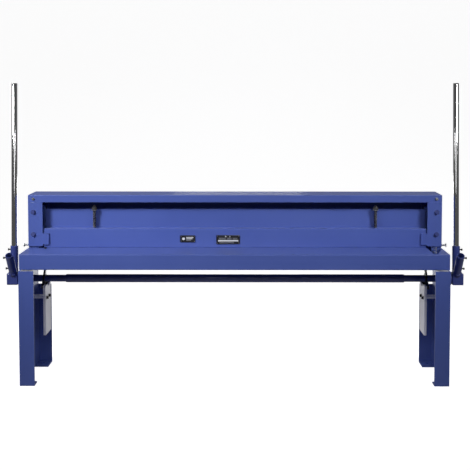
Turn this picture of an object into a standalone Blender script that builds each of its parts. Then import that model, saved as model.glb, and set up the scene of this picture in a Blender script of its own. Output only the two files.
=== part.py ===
"""Sheet metal brake: a bed on two legs, a lifting clamp beam and a bending leaf on the far side.

+Z is up, -Y is the operator's side, and the origin is on the floor at the middle of the machine.
"""
import math

import bmesh
import bpy
from mathutils import Matrix, Vector

# Driving dimensions, in metres
WORKING_LENGTH = 2.503      # clear length between the end plates
END_WIDTH = 0.0945          # width of an end plate and of a leg's flange
LEG_HEIGHT = 0.7225
LEG_DEPTH = 0.510
BED_THICKNESS = 0.0981
FRAME_HEIGHT = 0.335        # from the bottom of the end plates to the top of the cover
FRAME_LIFT = 0.0104         # gap between the bed and the end plates
FRAME_SETBACK = 0.287       # from the front of the legs to the front of the end plates
SHELF_SETBACK = 0.044       # from the front of the legs to the front of the shelf
COVER_STRIP = 0.047
BEND_OUTER = 0.004          # outer and inner radius of the corners of folded plate
BEND_INNER = 0.001
LEAF_WIDTH = 0.059
LEAF_DROP = 0.170
GAP = 0.0003                # between pieces that touch

# Sheet, plate and section sizes
SHEET = 0.008
END_PLATE = 0.010
END_BOLT_HOLE = 0.009       # radius
FOOT_PLATE = 0.010
FRONT_FOOT_LENGTH = 0.070
REAR_FOOT_LENGTH = 0.120
FOOT_INSET = 0.001          # a foot plate's edge inside the leg's faces
ANCHOR_HOLE = 0.009         # radius
LUG_LENGTH = 0.040
LUG_BOTTOM = 0.010          # above the end plate's bottom edge
LUG_HEIGHT = 0.074
PANEL_HEIGHT = 0.125
LEDGE_DEPTH = 0.060
WEB_HEIGHT = 0.122
BLADE_WIDTH = 0.012
BLADE_HEIGHT = 0.060
NOSE_HEIGHT = 0.050
NOSE_SETBACK = 0.0015
ROD_OFFSET = 0.92           # threaded rods, from the middle
ROD_RADIUS = 0.011
ROD_HEIGHT = 0.150
REAR_OPENING = 0.130        # above the bed, for the leaf and its arms

# Shaft, levers and leaf drive
SHAFT_DEPTH = 0.350         # from the front of the legs
SHAFT_DROP = 0.2126         # below the bed's top
SHAFT_RADIUS = 0.0225
TUBE_WALL = 0.0045
TUBE_END = 0.141            # from an end plate's inner edge to the end of the thick tube
BORE_CLEARANCE = 0.0005
HOUSING_WALL = 0.018
HOUSING_LENGTH = 0.081
HUB_WIDTH = 0.073
HUB_HEIGHT = 0.077
SOCKET_WALL = 0.0055
SOCKET_WEB = 0.0028         # half the wall between the two bores at their bottoms
SOCKET_REACH = 0.214
UPRIGHT_LEAN = math.radians(3)
FORWARD_LEAN = math.radians(-35)
BAR_RADIUS = 0.019
BAR_FIT = 0.001
BAR_LENGTH = 1.216
CRANK_ANGLE = math.radians(-87)
ARM_THICKNESS = 0.012
ARM_GAP = 0.003
LINK_HALF_WIDTH = 0.0135
LINK_CLEARANCE = 0.0027     # between a link's edge and the shaft
PIN_RADIUS = 0.008
HINGE_PIN_RADIUS = 0.012
HINGE_BOSS = 0.010          # wall of a leaf arm round its hinge pin
SIDE_COVER = 0.016          # thickness
COVER_STUD = 0.007          # radius of the studs that hold a side cover
RIB_SWEEP = 0.0275          # past the shaft, clear of the crank's rib as it turns

# Places worked out from the sizes above
HALF_OPENING = WORKING_LENGTH / 2
HALF_FRAME = HALF_OPENING + END_WIDTH
LEG_OUTER = HALF_FRAME - 0.004
LEG_INNER = LEG_OUTER - END_WIDTH
BED_TOP = LEG_HEIGHT + BED_THICKNESS
FRAME_BOTTOM = BED_TOP + FRAME_LIFT
FRAME_TOP = FRAME_BOTTOM + FRAME_HEIGHT
COVER_BOTTOM = FRAME_TOP - COVER_STRIP
FRONT = -(LEG_DEPTH + 0.001 + LEAF_WIDTH + 0.001) / 2
LEG_REAR = FRONT + LEG_DEPTH
BEND_Y = LEG_REAR + 0.001
SHELF_FRONT = FRONT + SHELF_SETBACK
FRAME_FRONT = FRONT + FRAME_SETBACK
SHELF_REAR = FRAME_FRONT - GAP
PANEL_FRONT = FRAME_FRONT + END_PLATE + 0.0015
SHAFT_Y = FRONT + SHAFT_DEPTH
SHAFT_Z = BED_TOP - SHAFT_DROP
LINK_ANGLE = math.atan2(SHAFT_DROP, BEND_Y - SHAFT_Y)
CRANK_RADIUS = ((SHAFT_RADIUS + LINK_HALF_WIDTH + LINK_CLEARANCE)
                / math.sin(LINK_ANGLE - CRANK_ANGLE))
CRANK_Y = CRANK_RADIUS * math.cos(CRANK_ANGLE)
CRANK_Z = CRANK_RADIUS * math.sin(CRANK_ANGLE)
ARM_INNER = HALF_OPENING - 0.0015
ARM_OUTER = ARM_INNER + ARM_THICKNESS
LINK_INNER = ARM_OUTER + ARM_GAP
LINK_OUTER = LINK_INNER + ARM_THICKNESS
PIN_END = LINK_OUTER + 0.006
TUBE_RADIUS = SHAFT_RADIUS + TUBE_WALL
HOUSING_RADIUS = SHAFT_RADIUS + BORE_CLEARANCE + HOUSING_WALL
BAR_BORE = BAR_RADIUS + BAR_FIT
SOCKET_RADIUS = BAR_BORE + SOCKET_WALL
SOCKET_BOTTOM = (BAR_BORE + SOCKET_WEB) / math.sin((UPRIGHT_LEAN - FORWARD_LEAN) / 2)
HOUSING_END = LEG_OUTER + HOUSING_LENGTH
HUB_INNER = HOUSING_END + 0.0025
HUB_OUTER = HUB_INNER + HUB_WIDTH
SOCKET_X = HUB_INNER + 0.031
PANEL_TOP = BED_TOP + PANEL_HEIGHT
LEAF_FRONT = BEND_Y + 0.001
LEAF_REAR = LEAF_FRONT + LEAF_WIDTH
LEAF_BOTTOM = BED_TOP - LEAF_DROP
COVER_REAR = FRAME_FRONT + 0.224
SCREW_Y = FRAME_FRONT + 0.030
SCREW_Z = FRAME_BOTTOM + 0.004
SIDES = (("left", -1), ("right", 1))

# Which way a flat outline is turned before it is given its thickness: the outline's own
# two directions are (Y, Z) for pieces that run along X, (X, Z) along Y, and (X, Y) along Z.
TURNS = {
    "X": Matrix(((0, 0, 1), (1, 0, 0), (0, 1, 0))),
    "Y": Matrix(((1, 0, 0), (0, 0, -1), (0, 1, 0))),
    "Z": Matrix.Identity(3),
}

# Finish: colour, roughness, metallic
FINISHES = {
    "blue_paint": ((0.060, 0.095, 0.360), 0.42, 0.0),
    "blue_paint_dark": ((0.034, 0.050, 0.215), 0.45, 0.0),
    "grey_paint": ((0.74, 0.73, 0.81), 0.45, 0.0),
    "chrome": ((0.72, 0.72, 0.73), 0.10, 1.0),
    "black_steel": ((0.018, 0.018, 0.024), 0.40, 0.6),
    "zinc_steel": ((0.48, 0.49, 0.52), 0.32, 1.0),
    "ground_steel": ((0.42, 0.42, 0.44), 0.28, 1.0),
    "label_plate": ((0.012, 0.012, 0.014), 0.35, 0.0),
}


def clear_scene():
    for thing in list(bpy.data.objects):
        bpy.data.objects.remove(thing, do_unlink=True)


def make_collection(name):
    group = bpy.data.collections.new(name)
    bpy.context.scene.collection.children.link(group)
    return group


def make_material(name):
    colour, roughness, metallic = FINISHES[name]
    material = bpy.data.materials.new(name)
    material.use_nodes = True
    shader = material.node_tree.nodes["Principled BSDF"]
    shader.inputs["Base Color"].default_value = (*colour, 1.0)
    shader.inputs["Roughness"].default_value = roughness
    shader.inputs["Metallic"].default_value = metallic
    material.diffuse_color = (*colour, 1.0)
    return material


clear_scene()
PARTS = make_collection("sheet_metal_brake")
CUTTERS = make_collection("cutters")
BODIES = {}


def make_body(name, anchor):
    """An empty on the joint's axis, which carries the pieces that move together."""
    empty = bpy.data.objects.new(f"{name}_axis", None)
    empty.location = anchor
    PARTS.objects.link(empty)
    BODIES[name] = empty


def add_piece(name, mesh, finish, body, smooth=False):
    piece = bpy.data.objects.new(name, mesh)
    PARTS.objects.link(piece)
    carrier = BODIES[body]
    piece.parent = carrier
    mesh.transform(Matrix.Translation(-carrier.location))
    mesh.materials.clear()
    material = make_material(finish)
    material.name = f"{name}_{finish}"
    mesh.materials.append(material)
    if smooth:
        mesh.shade_smooth()
        mesh.set_sharp_from_angle(angle=math.radians(35))
    return piece


def add_cutter(name, mesh, body="frame"):
    """A shape that another piece is cut or joined with. It stays out of the model."""
    cutter = bpy.data.objects.new(name, mesh)
    CUTTERS.objects.link(cutter)
    cutter.parent = BODIES[body]
    mesh.transform(Matrix.Translation(-BODIES[body].location))
    cutter.hide_render = True
    cutter.display_type = "WIRE"
    return cutter


def combine(piece, cutter, operation="DIFFERENCE"):
    step = piece.modifiers.new(cutter.name, "BOOLEAN")
    step.operation = operation
    step.solver = "EXACT"
    step.object = cutter


def round_edges(piece, width, segments=2):
    step = piece.modifiers.new("rounded_edges", "BEVEL")
    step.width = width
    step.segments = segments
    step.limit_method = "ANGLE"
    step.angle_limit = math.radians(50)


def flat_mesh(name, outlines, along, start, end):
    """A flat outline, with holes as further outlines, given thickness from start to end."""
    curve = bpy.data.curves.new(name, "CURVE")
    curve.dimensions = "2D"
    curve.fill_mode = "BOTH"
    curve.extrude = (end - start) / 2
    for outline in outlines:
        spline = curve.splines.new("POLY")
        spline.points.add(len(outline) - 1)
        for point, (across, up) in zip(spline.points, outline):
            point.co = (across, up, 0, 1)
        spline.use_cyclic_u = True
    guide = bpy.data.objects.new(name, curve)
    middle = Vector([(start + end) / 2 if axis == along else 0 for axis in "XYZ"])
    guide.matrix_world = Matrix.Translation(middle) @ TURNS[along].to_4x4()
    CUTTERS.objects.link(guide)
    bpy.context.view_layer.update()
    mesh = bpy.data.meshes.new_from_object(guide.evaluated_get(bpy.context.evaluated_depsgraph_get()))
    mesh.transform(guide.matrix_world)
    bpy.data.objects.remove(guide, do_unlink=True)
    shape = bmesh.new()
    shape.from_mesh(mesh)
    bmesh.ops.remove_doubles(shape, verts=shape.verts, dist=0.00001)
    bmesh.ops.recalc_face_normals(shape, faces=shape.faces)
    shape.to_mesh(mesh)
    shape.free()
    mesh.name = name
    return mesh


def solids_mesh(name, solids):
    """Separate boxes and cylinders in one mesh.

    A box is ("box", (x0, x1), (y0, y1), (z0, z1)). A cylinder is
    ("rod", start point, direction, radius, length, sides).
    """
    shape = bmesh.new()
    for solid in solids:
        if solid[0] == "box":
            sizes = [high - low for low, high in solid[1:]]
            centre = [(high + low) / 2 for low, high in solid[1:]]
            place = Matrix.Translation(centre) @ Matrix.Diagonal((*sizes, 1))
            bmesh.ops.create_cube(shape, size=1, matrix=place)
            continue
        _, start, direction, radius, length, sides = solid
        way = Vector(direction).normalized()
        turn = Vector((0, 0, 1)).rotation_difference(way).to_matrix().to_4x4()
        place = Matrix.Translation(Vector(start) + way * length / 2) @ turn
        bmesh.ops.create_cone(shape, cap_ends=True, segments=sides, radius1=radius,
                              radius2=radius, depth=length, matrix=place)
    mesh = bpy.data.meshes.new(name)
    shape.to_mesh(mesh)
    shape.free()
    return mesh


def flat_piece(name, outlines, along, start, end, finish, body="frame"):
    return add_piece(name, flat_mesh(name, outlines, along, start, end), finish, body)


def solid_piece(name, solids, finish, body="frame", smooth=False):
    return add_piece(name, solids_mesh(name, solids), finish, body, smooth)


def joined_piece(name, solids, finish, body="frame"):
    """Overlapping boxes and cylinders that a Boolean union makes into one body."""
    piece = solid_piece(name, solids[:1], finish, body)
    for solid in solids[1:]:
        combine(piece, add_cutter(f"{name}_joined", solids_mesh(name, [solid]), body), "UNION")
    return piece


def rectangle(across, up):
    return [(across[0], up[0]), (across[1], up[0]), (across[1], up[1]), (across[0], up[1])]


def circle(centre, radius, steps=28):
    turns = [math.tau * step / steps for step in range(steps)]
    return [(centre[0] + radius * math.cos(t), centre[1] + radius * math.sin(t)) for t in turns]


def hull_of_circles(circles, steps=24):
    """The outline of a plate stretched round some circles, each given as (across, up, radius)."""
    points = sorted({point for a, u, r in circles for point in circle((a, u), r, steps)})
    half_outlines = []
    for ordered in (points, points[::-1]):
        half = []
        for point in ordered:
            while len(half) > 1 and turn_of(half[-2], half[-1], point) <= 1e-12:
                half.pop()
            half.append(point)
        half_outlines.append(half[:-1])
    return half_outlines[0] + half_outlines[1]


def turn_of(a, b, c):
    return (b[0] - a[0]) * (c[1] - a[1]) - (b[1] - a[1]) * (c[0] - a[0])


def rounded(outline, radii, steps=4):
    """The outline with the corners that radii names by number made into arcs."""
    points = []
    for index, corner in enumerate(outline):
        if index not in radii:
            points.append(corner)
            continue
        tip = Vector(corner)
        before = (Vector(outline[index - 1]) - tip).normalized()
        after = (Vector(outline[(index + 1) % len(outline)]) - tip).normalized()
        half_angle = before.angle(after) / 2
        centre = tip + (before + after).normalized() * radii[index] / math.sin(half_angle)
        start = tip + before * radii[index] / math.tan(half_angle) - centre
        end = tip + after * radii[index] / math.tan(half_angle) - centre
        sweep = start.angle_signed(end)
        for step in range(steps + 1):
            arm = Matrix.Rotation(-sweep * step / steps, 2) @ start
            points.append(tuple(centre + arm))
    return points


def folded(outline, outer_corners, inner_corners):
    """A folded plate's cross-section, with its bends rounded."""
    radii = {index: BEND_OUTER for index in outer_corners}
    radii.update({index: BEND_INNER for index in inner_corners})
    return rounded(outline, radii)


def channel(across, up, thickness, open_side):
    """A folded channel's cross-section: a rectangle's three walls."""
    (a0, a1), (u0, u1), t = across, up, thickness
    if open_side == "high_across":
        return folded([(a0, u0), (a1, u0), (a1, u0 + t), (a0 + t, u0 + t),
                       (a0 + t, u1 - t), (a1, u1 - t), (a1, u1), (a0, u1)], (0, 7), (3, 4))
    return folded([(a0, u0), (a0 + t, u0), (a0 + t, u1 - t), (a1 - t, u1 - t),
                   (a1 - t, u0), (a1, u0), (a1, u1), (a0, u1)], (6, 7), (2, 3))


def span(sign, inner, outer):
    return (inner, outer) if sign > 0 else (-outer, -inner)


def mirrored(sign, outline):
    return [(sign * across, up) for across, up in outline]


def shaft_circle(radius):
    return circle((SHAFT_Y, SHAFT_Z), radius)


def make_legs():
    notch_bottom = SHAFT_Z - 0.070
    anchor_x = (LEG_INNER + LEG_OUTER) / 2
    foot_places = ((FRONT, FRONT + FRONT_FOOT_LENGTH), (LEG_REAR - REAR_FOOT_LENGTH, LEG_REAR))
    for side, sign in SIDES:
        section = [(LEG_INNER, FRONT), (LEG_OUTER, FRONT), (LEG_OUTER, LEG_REAR),
                   (LEG_INNER, LEG_REAR), (LEG_INNER, LEG_REAR - SHEET),
                   (LEG_OUTER - SHEET, LEG_REAR - SHEET), (LEG_OUTER - SHEET, FRONT + SHEET),
                   (LEG_INNER, FRONT + SHEET)]
        section = folded(section, (1, 2), (5, 6))
        leg = flat_piece(f"leg_{side}", [mirrored(sign, section)], "Z",
                         FOOT_PLATE / 2, LEG_HEIGHT, "blue_paint")
        for near, far in foot_places:
            plate = solids_mesh("foot_plate", [
                ("box", span(sign, LEG_INNER + FOOT_INSET, LEG_OUTER - FOOT_INSET),
                 (near + FOOT_INSET, far - FOOT_INSET), (0, FOOT_PLATE))])
            combine(leg, add_cutter(f"foot_plate_{side}", plate), "UNION")
        holes = [("rod", (sign * anchor_x, (near + far) / 2, -0.01), (0, 0, 1), ANCHOR_HOLE, 0.03, 16)
                 for near, far in foot_places]
        combine(leg, add_cutter(f"anchor_holes_{side}", solids_mesh("anchor_holes", holes)))
        bore = solids_mesh(f"leg_bore_{side}", [
            ("rod", (sign * LEG_INNER, SHAFT_Y, SHAFT_Z), (sign, 0, 0),
             SHAFT_RADIUS + BORE_CLEARANCE, END_WIDTH + 0.02, 28)])
        combine(leg, add_cutter(f"leg_bore_{side}", bore))
        notch = solids_mesh(f"link_notch_{side}", [
            ("box", span(sign, LEG_INNER - 0.01, LEG_OUTER - SHEET + 0.001),
             (LEG_REAR - SHEET - 0.002, LEG_REAR + 0.01), (notch_bottom, LEG_HEIGHT + 0.01))])
        combine(leg, add_cutter(f"link_notch_{side}", notch))


def make_bed():
    section = channel((SHELF_FRONT, SHELF_REAR), (LEG_HEIGHT + GAP, BED_TOP), SHEET, "high_across")
    half = HALF_FRAME + 0.001
    shelf = flat_piece("bed_shelf", [section], "X", -half, half, "blue_paint")
    inner = HALF_OPENING - 0.0005
    slot = [(inner, SHELF_REAR + 0.01), (inner, SHELF_FRONT + 0.030),
            (inner + 0.028, SHELF_FRONT + 0.030), (inner + 0.081, SHELF_REAR - 0.045),
            (inner + 0.081, SHELF_REAR + 0.01)]
    cutter = flat_mesh("spring_slot", [slot], "Z", BED_TOP - SHEET - 0.005, BED_TOP + 0.01)
    combine(shelf, add_cutter("spring_slot", cutter))

    beam_half = ARM_INNER - 0.004
    beam_front, beam_rear = FRAME_FRONT, BEND_Y - NOSE_SETBACK - BLADE_WIDTH - GAP
    outer = rectangle((beam_front, beam_rear), (LEG_HEIGHT, BED_TOP))
    inner_wall = rectangle((beam_front + SHEET, beam_rear - SHEET),
                           (LEG_HEIGHT + SHEET, BED_TOP - SHEET))
    flat_piece("bed_beam", [outer, inner_wall], "X", -beam_half, beam_half, "blue_paint")
    blade = solid_piece("bed_blade", [
        ("box", (-beam_half - 0.002, beam_half + 0.002), (beam_rear + GAP, BEND_Y - NOSE_SETBACK),
         (BED_TOP - BLADE_HEIGHT, BED_TOP))], "ground_steel")
    round_edges(blade, 0.0008, 1)


def make_end_frames():
    bolt_x = HALF_FRAME - 0.034
    bolt_heights = (FRAME_BOTTOM + 0.079, FRAME_BOTTOM + 0.225)
    lug_top = FRAME_BOTTOM + LUG_BOTTOM + LUG_HEIGHT
    flange_rear = COVER_REAR - SHEET - GAP
    flange_front = FRAME_FRONT + END_PLATE + GAP
    top = FRAME_TOP - SHEET - BEND_INNER - GAP
    for side, sign in SIDES:
        outline = [(HALF_OPENING, FRAME_BOTTOM), (HALF_FRAME, FRAME_BOTTOM),
                   (HALF_FRAME, COVER_BOTTOM - GAP), (HALF_OPENING, COVER_BOTTOM - GAP),
                   (HALF_OPENING, lug_top), (HALF_OPENING - LUG_LENGTH, lug_top),
                   (HALF_OPENING - LUG_LENGTH, FRAME_BOTTOM + LUG_BOTTOM),
                   (HALF_OPENING, FRAME_BOTTOM + LUG_BOTTOM)]
        holes = [mirrored(sign, circle((bolt_x, z), END_BOLT_HOLE, 16)) for z in bolt_heights]
        plate = flat_piece(f"end_plate_{side}", [mirrored(sign, outline), *holes], "Y",
                           FRAME_FRONT, FRAME_FRONT + END_PLATE, "blue_paint")
        round_edges(plate, 0.0012, 1)

        section = [(HALF_OPENING + 0.030, flange_front), (HALF_FRAME, flange_front),
                   (HALF_FRAME, flange_rear), (HALF_OPENING + 0.002, flange_rear),
                   (HALF_OPENING + 0.002, flange_rear - SHEET),
                   (HALF_FRAME - SHEET, flange_rear - SHEET),
                   (HALF_FRAME - SHEET, flange_front + SHEET),
                   (HALF_OPENING + 0.030, flange_front + SHEET)]
        section = folded(section, (1, 2), (5, 6))
        frame = flat_piece(f"end_frame_{side}", [mirrored(sign, section)], "Z",
                           LEG_HEIGHT + GAP, top, "blue_paint")
        openings = [("box", span(sign, HALF_OPENING - 0.01, HALF_FRAME - SHEET + 0.001),
                     (flange_rear - SHEET - 0.001, flange_rear + 0.01),
                     (LEG_HEIGHT - 0.01, BED_TOP + REAR_OPENING))]
        openings += [("rod", (sign * bolt_x, flange_front - 0.005, z), (0, 1, 0), END_BOLT_HOLE, 0.03, 16)
                     for z in bolt_heights]
        openings.append(("rod", (sign * (HALF_FRAME - 0.02), SCREW_Y, SCREW_Z), (sign, 0, 0),
                         0.0066, 0.04, 16))
        cutter = add_cutter(f"end_frame_openings_{side}", solids_mesh("openings", openings))
        combine(frame, cutter)

        for place, z in zip(("lower", "upper"), bolt_heights):
            joined_piece(f"end_plate_bolt_{place}_{side}", [
                ("rod", (sign * bolt_x, FRAME_FRONT - 0.010, z), (0, 1, 0), 0.008, 0.042, 16),
                ("rod", (sign * bolt_x, FRAME_FRONT - GAP, z), (0, -1, 0), 0.0155, 0.003, 24),
                ("rod", (sign * bolt_x, FRAME_FRONT - 0.002, z), (0, -1, 0), 0.0135, 0.011, 6)],
                "blue_paint")

        solid_piece(f"clamp_guide_{side}", [
            ("box", span(sign, HALF_OPENING - 0.003, HALF_FRAME - SHEET - GAP),
             (PANEL_FRONT + LEDGE_DEPTH + 0.012, PANEL_FRONT + LEDGE_DEPTH + 0.052),
             (LEG_HEIGHT + GAP, PANEL_TOP + 0.140))], "blue_paint")


def make_cover():
    section = channel((FRAME_FRONT, COVER_REAR), (COVER_BOTTOM, FRAME_TOP), SHEET, "low_up")
    cover = flat_piece("top_cover", [section], "X", -HALF_FRAME, HALF_FRAME, "blue_paint")
    solid_piece("rear_panel", [
        ("box", (-HALF_FRAME, HALF_FRAME), (COVER_REAR - SHEET, COVER_REAR),
         (BED_TOP + REAR_OPENING + 0.005, COVER_BOTTOM - GAP))], "blue_paint")
    for side, sign in SIDES:
        solid_piece(f"cover_bolt_{side}", [
            ("rod", (sign * (HALF_FRAME - 0.034), FRAME_FRONT - GAP, COVER_BOTTOM + 0.022),
             (0, -1, 0), 0.009, 0.007, 6)], "zinc_steel")


def make_shaft_supports():
    for side, sign in SIDES:
        rings = [shaft_circle(HOUSING_RADIUS), shaft_circle(SHAFT_RADIUS + BORE_CLEARANCE)]
        start, end = span(sign, LEG_OUTER + GAP, HOUSING_END)
        housing = flat_piece(f"bearing_housing_{side}", rings, "X", start, end, "blue_paint_dark")
        housing.data.shade_smooth()
        housing.data.set_sharp_from_angle(angle=math.radians(35))


def make_hinges():
    block_inner = PIN_END + 0.003
    block_half = HINGE_PIN_RADIUS + 0.0115
    for side, sign in SIDES:
        body = rectangle((BEND_Y - block_half, BEND_Y + block_half),
                         (BED_TOP - block_half, BED_TOP + block_half))
        bore = circle((BEND_Y, BED_TOP), HINGE_PIN_RADIUS + BORE_CLEARANCE, 24)
        start, end = span(sign, block_inner, HALF_FRAME - SHEET - GAP)
        flat_piece(f"hinge_block_{side}", [body, bore], "X", start, end, "blue_paint")
        solid_piece(f"hinge_pin_{side}", [
            ("rod", (sign * (ARM_INNER + 0.0005), BEND_Y, BED_TOP), (sign, 0, 0),
             HINGE_PIN_RADIUS, HALF_FRAME - SHEET - 0.002 - ARM_INNER, 24)],
            "ground_steel", smooth=True)


def make_side_covers():
    inner = ARM_INNER - ARM_GAP - SIDE_COVER
    front, rear = SHAFT_Y - 0.0945, SHAFT_Y + 0.0605
    top, bottom = SHAFT_Z - 0.032, SHAFT_Z - 0.356
    sweep = SHAFT_RADIUS + RIB_SWEEP
    outline = [(front, bottom), (rear, bottom), (rear, top)]
    opening = math.acos((SHAFT_Z - top) / sweep)
    for step in range(9):
        turn = opening * (1 - step / 4)
        outline.append((SHAFT_Y + sweep * math.sin(turn), SHAFT_Z - sweep * math.cos(turn)))
    outline.append((front, top))
    bolt_places = [(SHAFT_Y - 0.0595, SHAFT_Z - 0.115), (SHAFT_Y + 0.0055, SHAFT_Z - 0.115)]
    for side, sign in SIDES:
        start, end = span(sign, inner, inner + SIDE_COVER)
        cover = flat_piece(f"side_cover_{side}", [outline], "X", start, end, "grey_paint")
        for y, z in bolt_places:
            stud = solids_mesh("cover_stud", [
                ("rod", (sign * (inner - 0.012), y, z), (sign, 0, 0), COVER_STUD,
                 LEG_OUTER - SHEET - GAP - inner + 0.012, 12)])
            combine(cover, add_cutter(f"cover_stud_{side}", stud), "UNION")


def make_shelf_spring():
    turns, steps, radius, wire = 8, 12, 0.0125, 0.0018
    bottom = LEG_HEIGHT + GAP + SHEET + wire + GAP
    top = FRAME_BOTTOM - wire - GAP
    centre_x, centre_y = HALF_OPENING + 0.047, SHELF_REAR - 0.014
    curve = bpy.data.curves.new("shelf_spring", "CURVE")
    curve.dimensions = "3D"
    curve.bevel_depth = wire
    curve.bevel_resolution = 1
    curve.use_fill_caps = True
    spline = curve.splines.new("POLY")
    count = turns * steps
    spline.points.add(count)
    for index, point in enumerate(spline.points):
        turn = math.tau * index / steps
        height = bottom + (top - bottom) * index / count
        point.co = (centre_x + radius * math.cos(turn), centre_y + radius * math.sin(turn), height, 1)
    guide = bpy.data.objects.new("shelf_spring", curve)
    CUTTERS.objects.link(guide)
    bpy.context.view_layer.update()
    mesh = bpy.data.meshes.new_from_object(guide.evaluated_get(bpy.context.evaluated_depsgraph_get()))
    bpy.data.objects.remove(guide, do_unlink=True)
    shape = bmesh.new()
    shape.from_mesh(mesh)
    bmesh.ops.remove_doubles(shape, verts=shape.verts, dist=0.00001)
    shape.to_mesh(mesh)
    shape.free()
    add_piece("shelf_spring", mesh, "zinc_steel", "frame", smooth=True)


def make_shaft():
    tube_half = HALF_OPENING - TUBE_END
    bore = SHAFT_RADIUS + GAP
    rib_reach = SHAFT_RADIUS + 0.0245
    tube = flat_piece("torsion_tube", [shaft_circle(TUBE_RADIUS), shaft_circle(bore)], "X",
                      -tube_half, tube_half, "blue_paint_dark", "lever_shaft")
    tube.data.shade_smooth()
    tube.data.set_sharp_from_angle(angle=math.radians(35))
    for side, sign in SIDES:
        shaft_start = tube_half - 0.060
        solid_piece(f"shaft_end_{side}", [
            ("rod", (sign * shaft_start, SHAFT_Y, SHAFT_Z), (sign, 0, 0), SHAFT_RADIUS,
             HUB_OUTER - 0.002 - shaft_start, 28)], "blue_paint_dark", "lever_shaft", smooth=True)
        pin = (SHAFT_Y + CRANK_Y, SHAFT_Z + CRANK_Z)
        outline = hull_of_circles([(SHAFT_Y, SHAFT_Z, SHAFT_RADIUS + 0.0135), (*pin, PIN_RADIUS + 0.010)])
        pin_hole = circle(pin, PIN_RADIUS + GAP, 20)
        start, end = span(sign, ARM_INNER, ARM_OUTER)
        crank = flat_piece(f"crank_{side}", [outline, shaft_circle(bore), pin_hole], "X",
                           start, end, "black_steel", "lever_shaft")
        gusset = [(ARM_INNER - 0.0225, SHAFT_Z - bore - GAP), (ARM_INNER + 0.004, SHAFT_Z - bore - GAP),
                  (ARM_INNER + 0.004, SHAFT_Z - rib_reach), (ARM_INNER, SHAFT_Z - rib_reach)]
        rib = flat_mesh(f"crank_rib_{side}", [mirrored(sign, gusset)], "Y",
                        SHAFT_Y - 0.004, SHAFT_Y + 0.004)
        combine(crank, add_cutter(f"crank_rib_{side}", rib, "lever_shaft"), "UNION")
        solid_piece(f"crank_pin_{side}", [
            ("rod", (sign * (ARM_INNER + 0.001), *pin), (sign, 0, 0), PIN_RADIUS,
             PIN_END - ARM_INNER - 0.001, 20)], "ground_steel", "lever_shaft", smooth=True)


def socket_way(lean):
    return Vector((0, math.sin(lean), math.cos(lean)))


def make_lever_hubs():
    screw_places = ((UPRIGHT_LEAN, SOCKET_REACH - 0.024), (FORWARD_LEAN, SOCKET_REACH - 0.024),
                    (FORWARD_LEAN, SOCKET_BOTTOM + 0.020))
    half = HUB_HEIGHT / 2
    for side, sign in SIDES:
        centre = Vector((sign * SOCKET_X, SHAFT_Y, SHAFT_Z))
        start, end = span(sign, HUB_INNER, HUB_OUTER)
        block = rectangle((SHAFT_Y - half, SHAFT_Y + half), (SHAFT_Z - half, SHAFT_Z + half))
        hub = flat_piece(f"lever_hub_{side}", [block], "X", start, end, "blue_paint_dark", "lever_shaft")
        round_edges(hub, 0.006)
        for lean in (UPRIGHT_LEAN, FORWARD_LEAN):
            tube = solids_mesh("socket", [
                ("rod", centre, socket_way(lean), SOCKET_RADIUS, SOCKET_REACH, 28)])
            cutter = add_cutter(f"socket_{side}", tube, "lever_shaft")
            combine(hub, cutter, "UNION")
        bores = [("rod", (sign * (HUB_INNER - 0.01), SHAFT_Y, SHAFT_Z), (sign, 0, 0),
                  SHAFT_RADIUS + GAP, HUB_WIDTH + 0.02, 28)]
        bores += [("rod", centre + socket_way(lean) * SOCKET_BOTTOM, socket_way(lean),
                   BAR_BORE, SOCKET_REACH, 28) for lean in (UPRIGHT_LEAN, FORWARD_LEAN)]
        combine(hub, add_cutter(f"hub_bores_{side}", solids_mesh("hub_bores", bores), "lever_shaft"))
        holes = [("rod", centre + socket_way(lean) * reach, (sign, 0, 0), 0.0046, 0.05, 12)
                 for lean, reach in screw_places]
        cutter = add_cutter(f"screw_holes_{side}", solids_mesh("screw_holes", holes), "lever_shaft")
        combine(hub, cutter)
        solid_piece(f"lever_bar_{side}", [
            ("rod", centre + socket_way(UPRIGHT_LEAN) * (SOCKET_BOTTOM + 0.001),
             socket_way(UPRIGHT_LEAN), BAR_RADIUS, BAR_LENGTH, 28)],
            "chrome", f"lever_bar_{side}", smooth=True)


def make_drive_links():
    low = (SHAFT_Y + CRANK_Y, SHAFT_Z + CRANK_Z)
    high = (BEND_Y + CRANK_Y, BED_TOP + CRANK_Z)
    outline = hull_of_circles([(*low, LINK_HALF_WIDTH), (*high, LINK_HALF_WIDTH)])
    holes = [circle(low, PIN_RADIUS + BORE_CLEARANCE, 20), circle(high, PIN_RADIUS + 0.001, 20)]
    for side, sign in SIDES:
        start, end = span(sign, LINK_INNER, LINK_OUTER)
        flat_piece(f"drive_link_{side}", [outline, *holes], "X", start, end,
                   "black_steel", f"drive_link_{side}")


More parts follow.
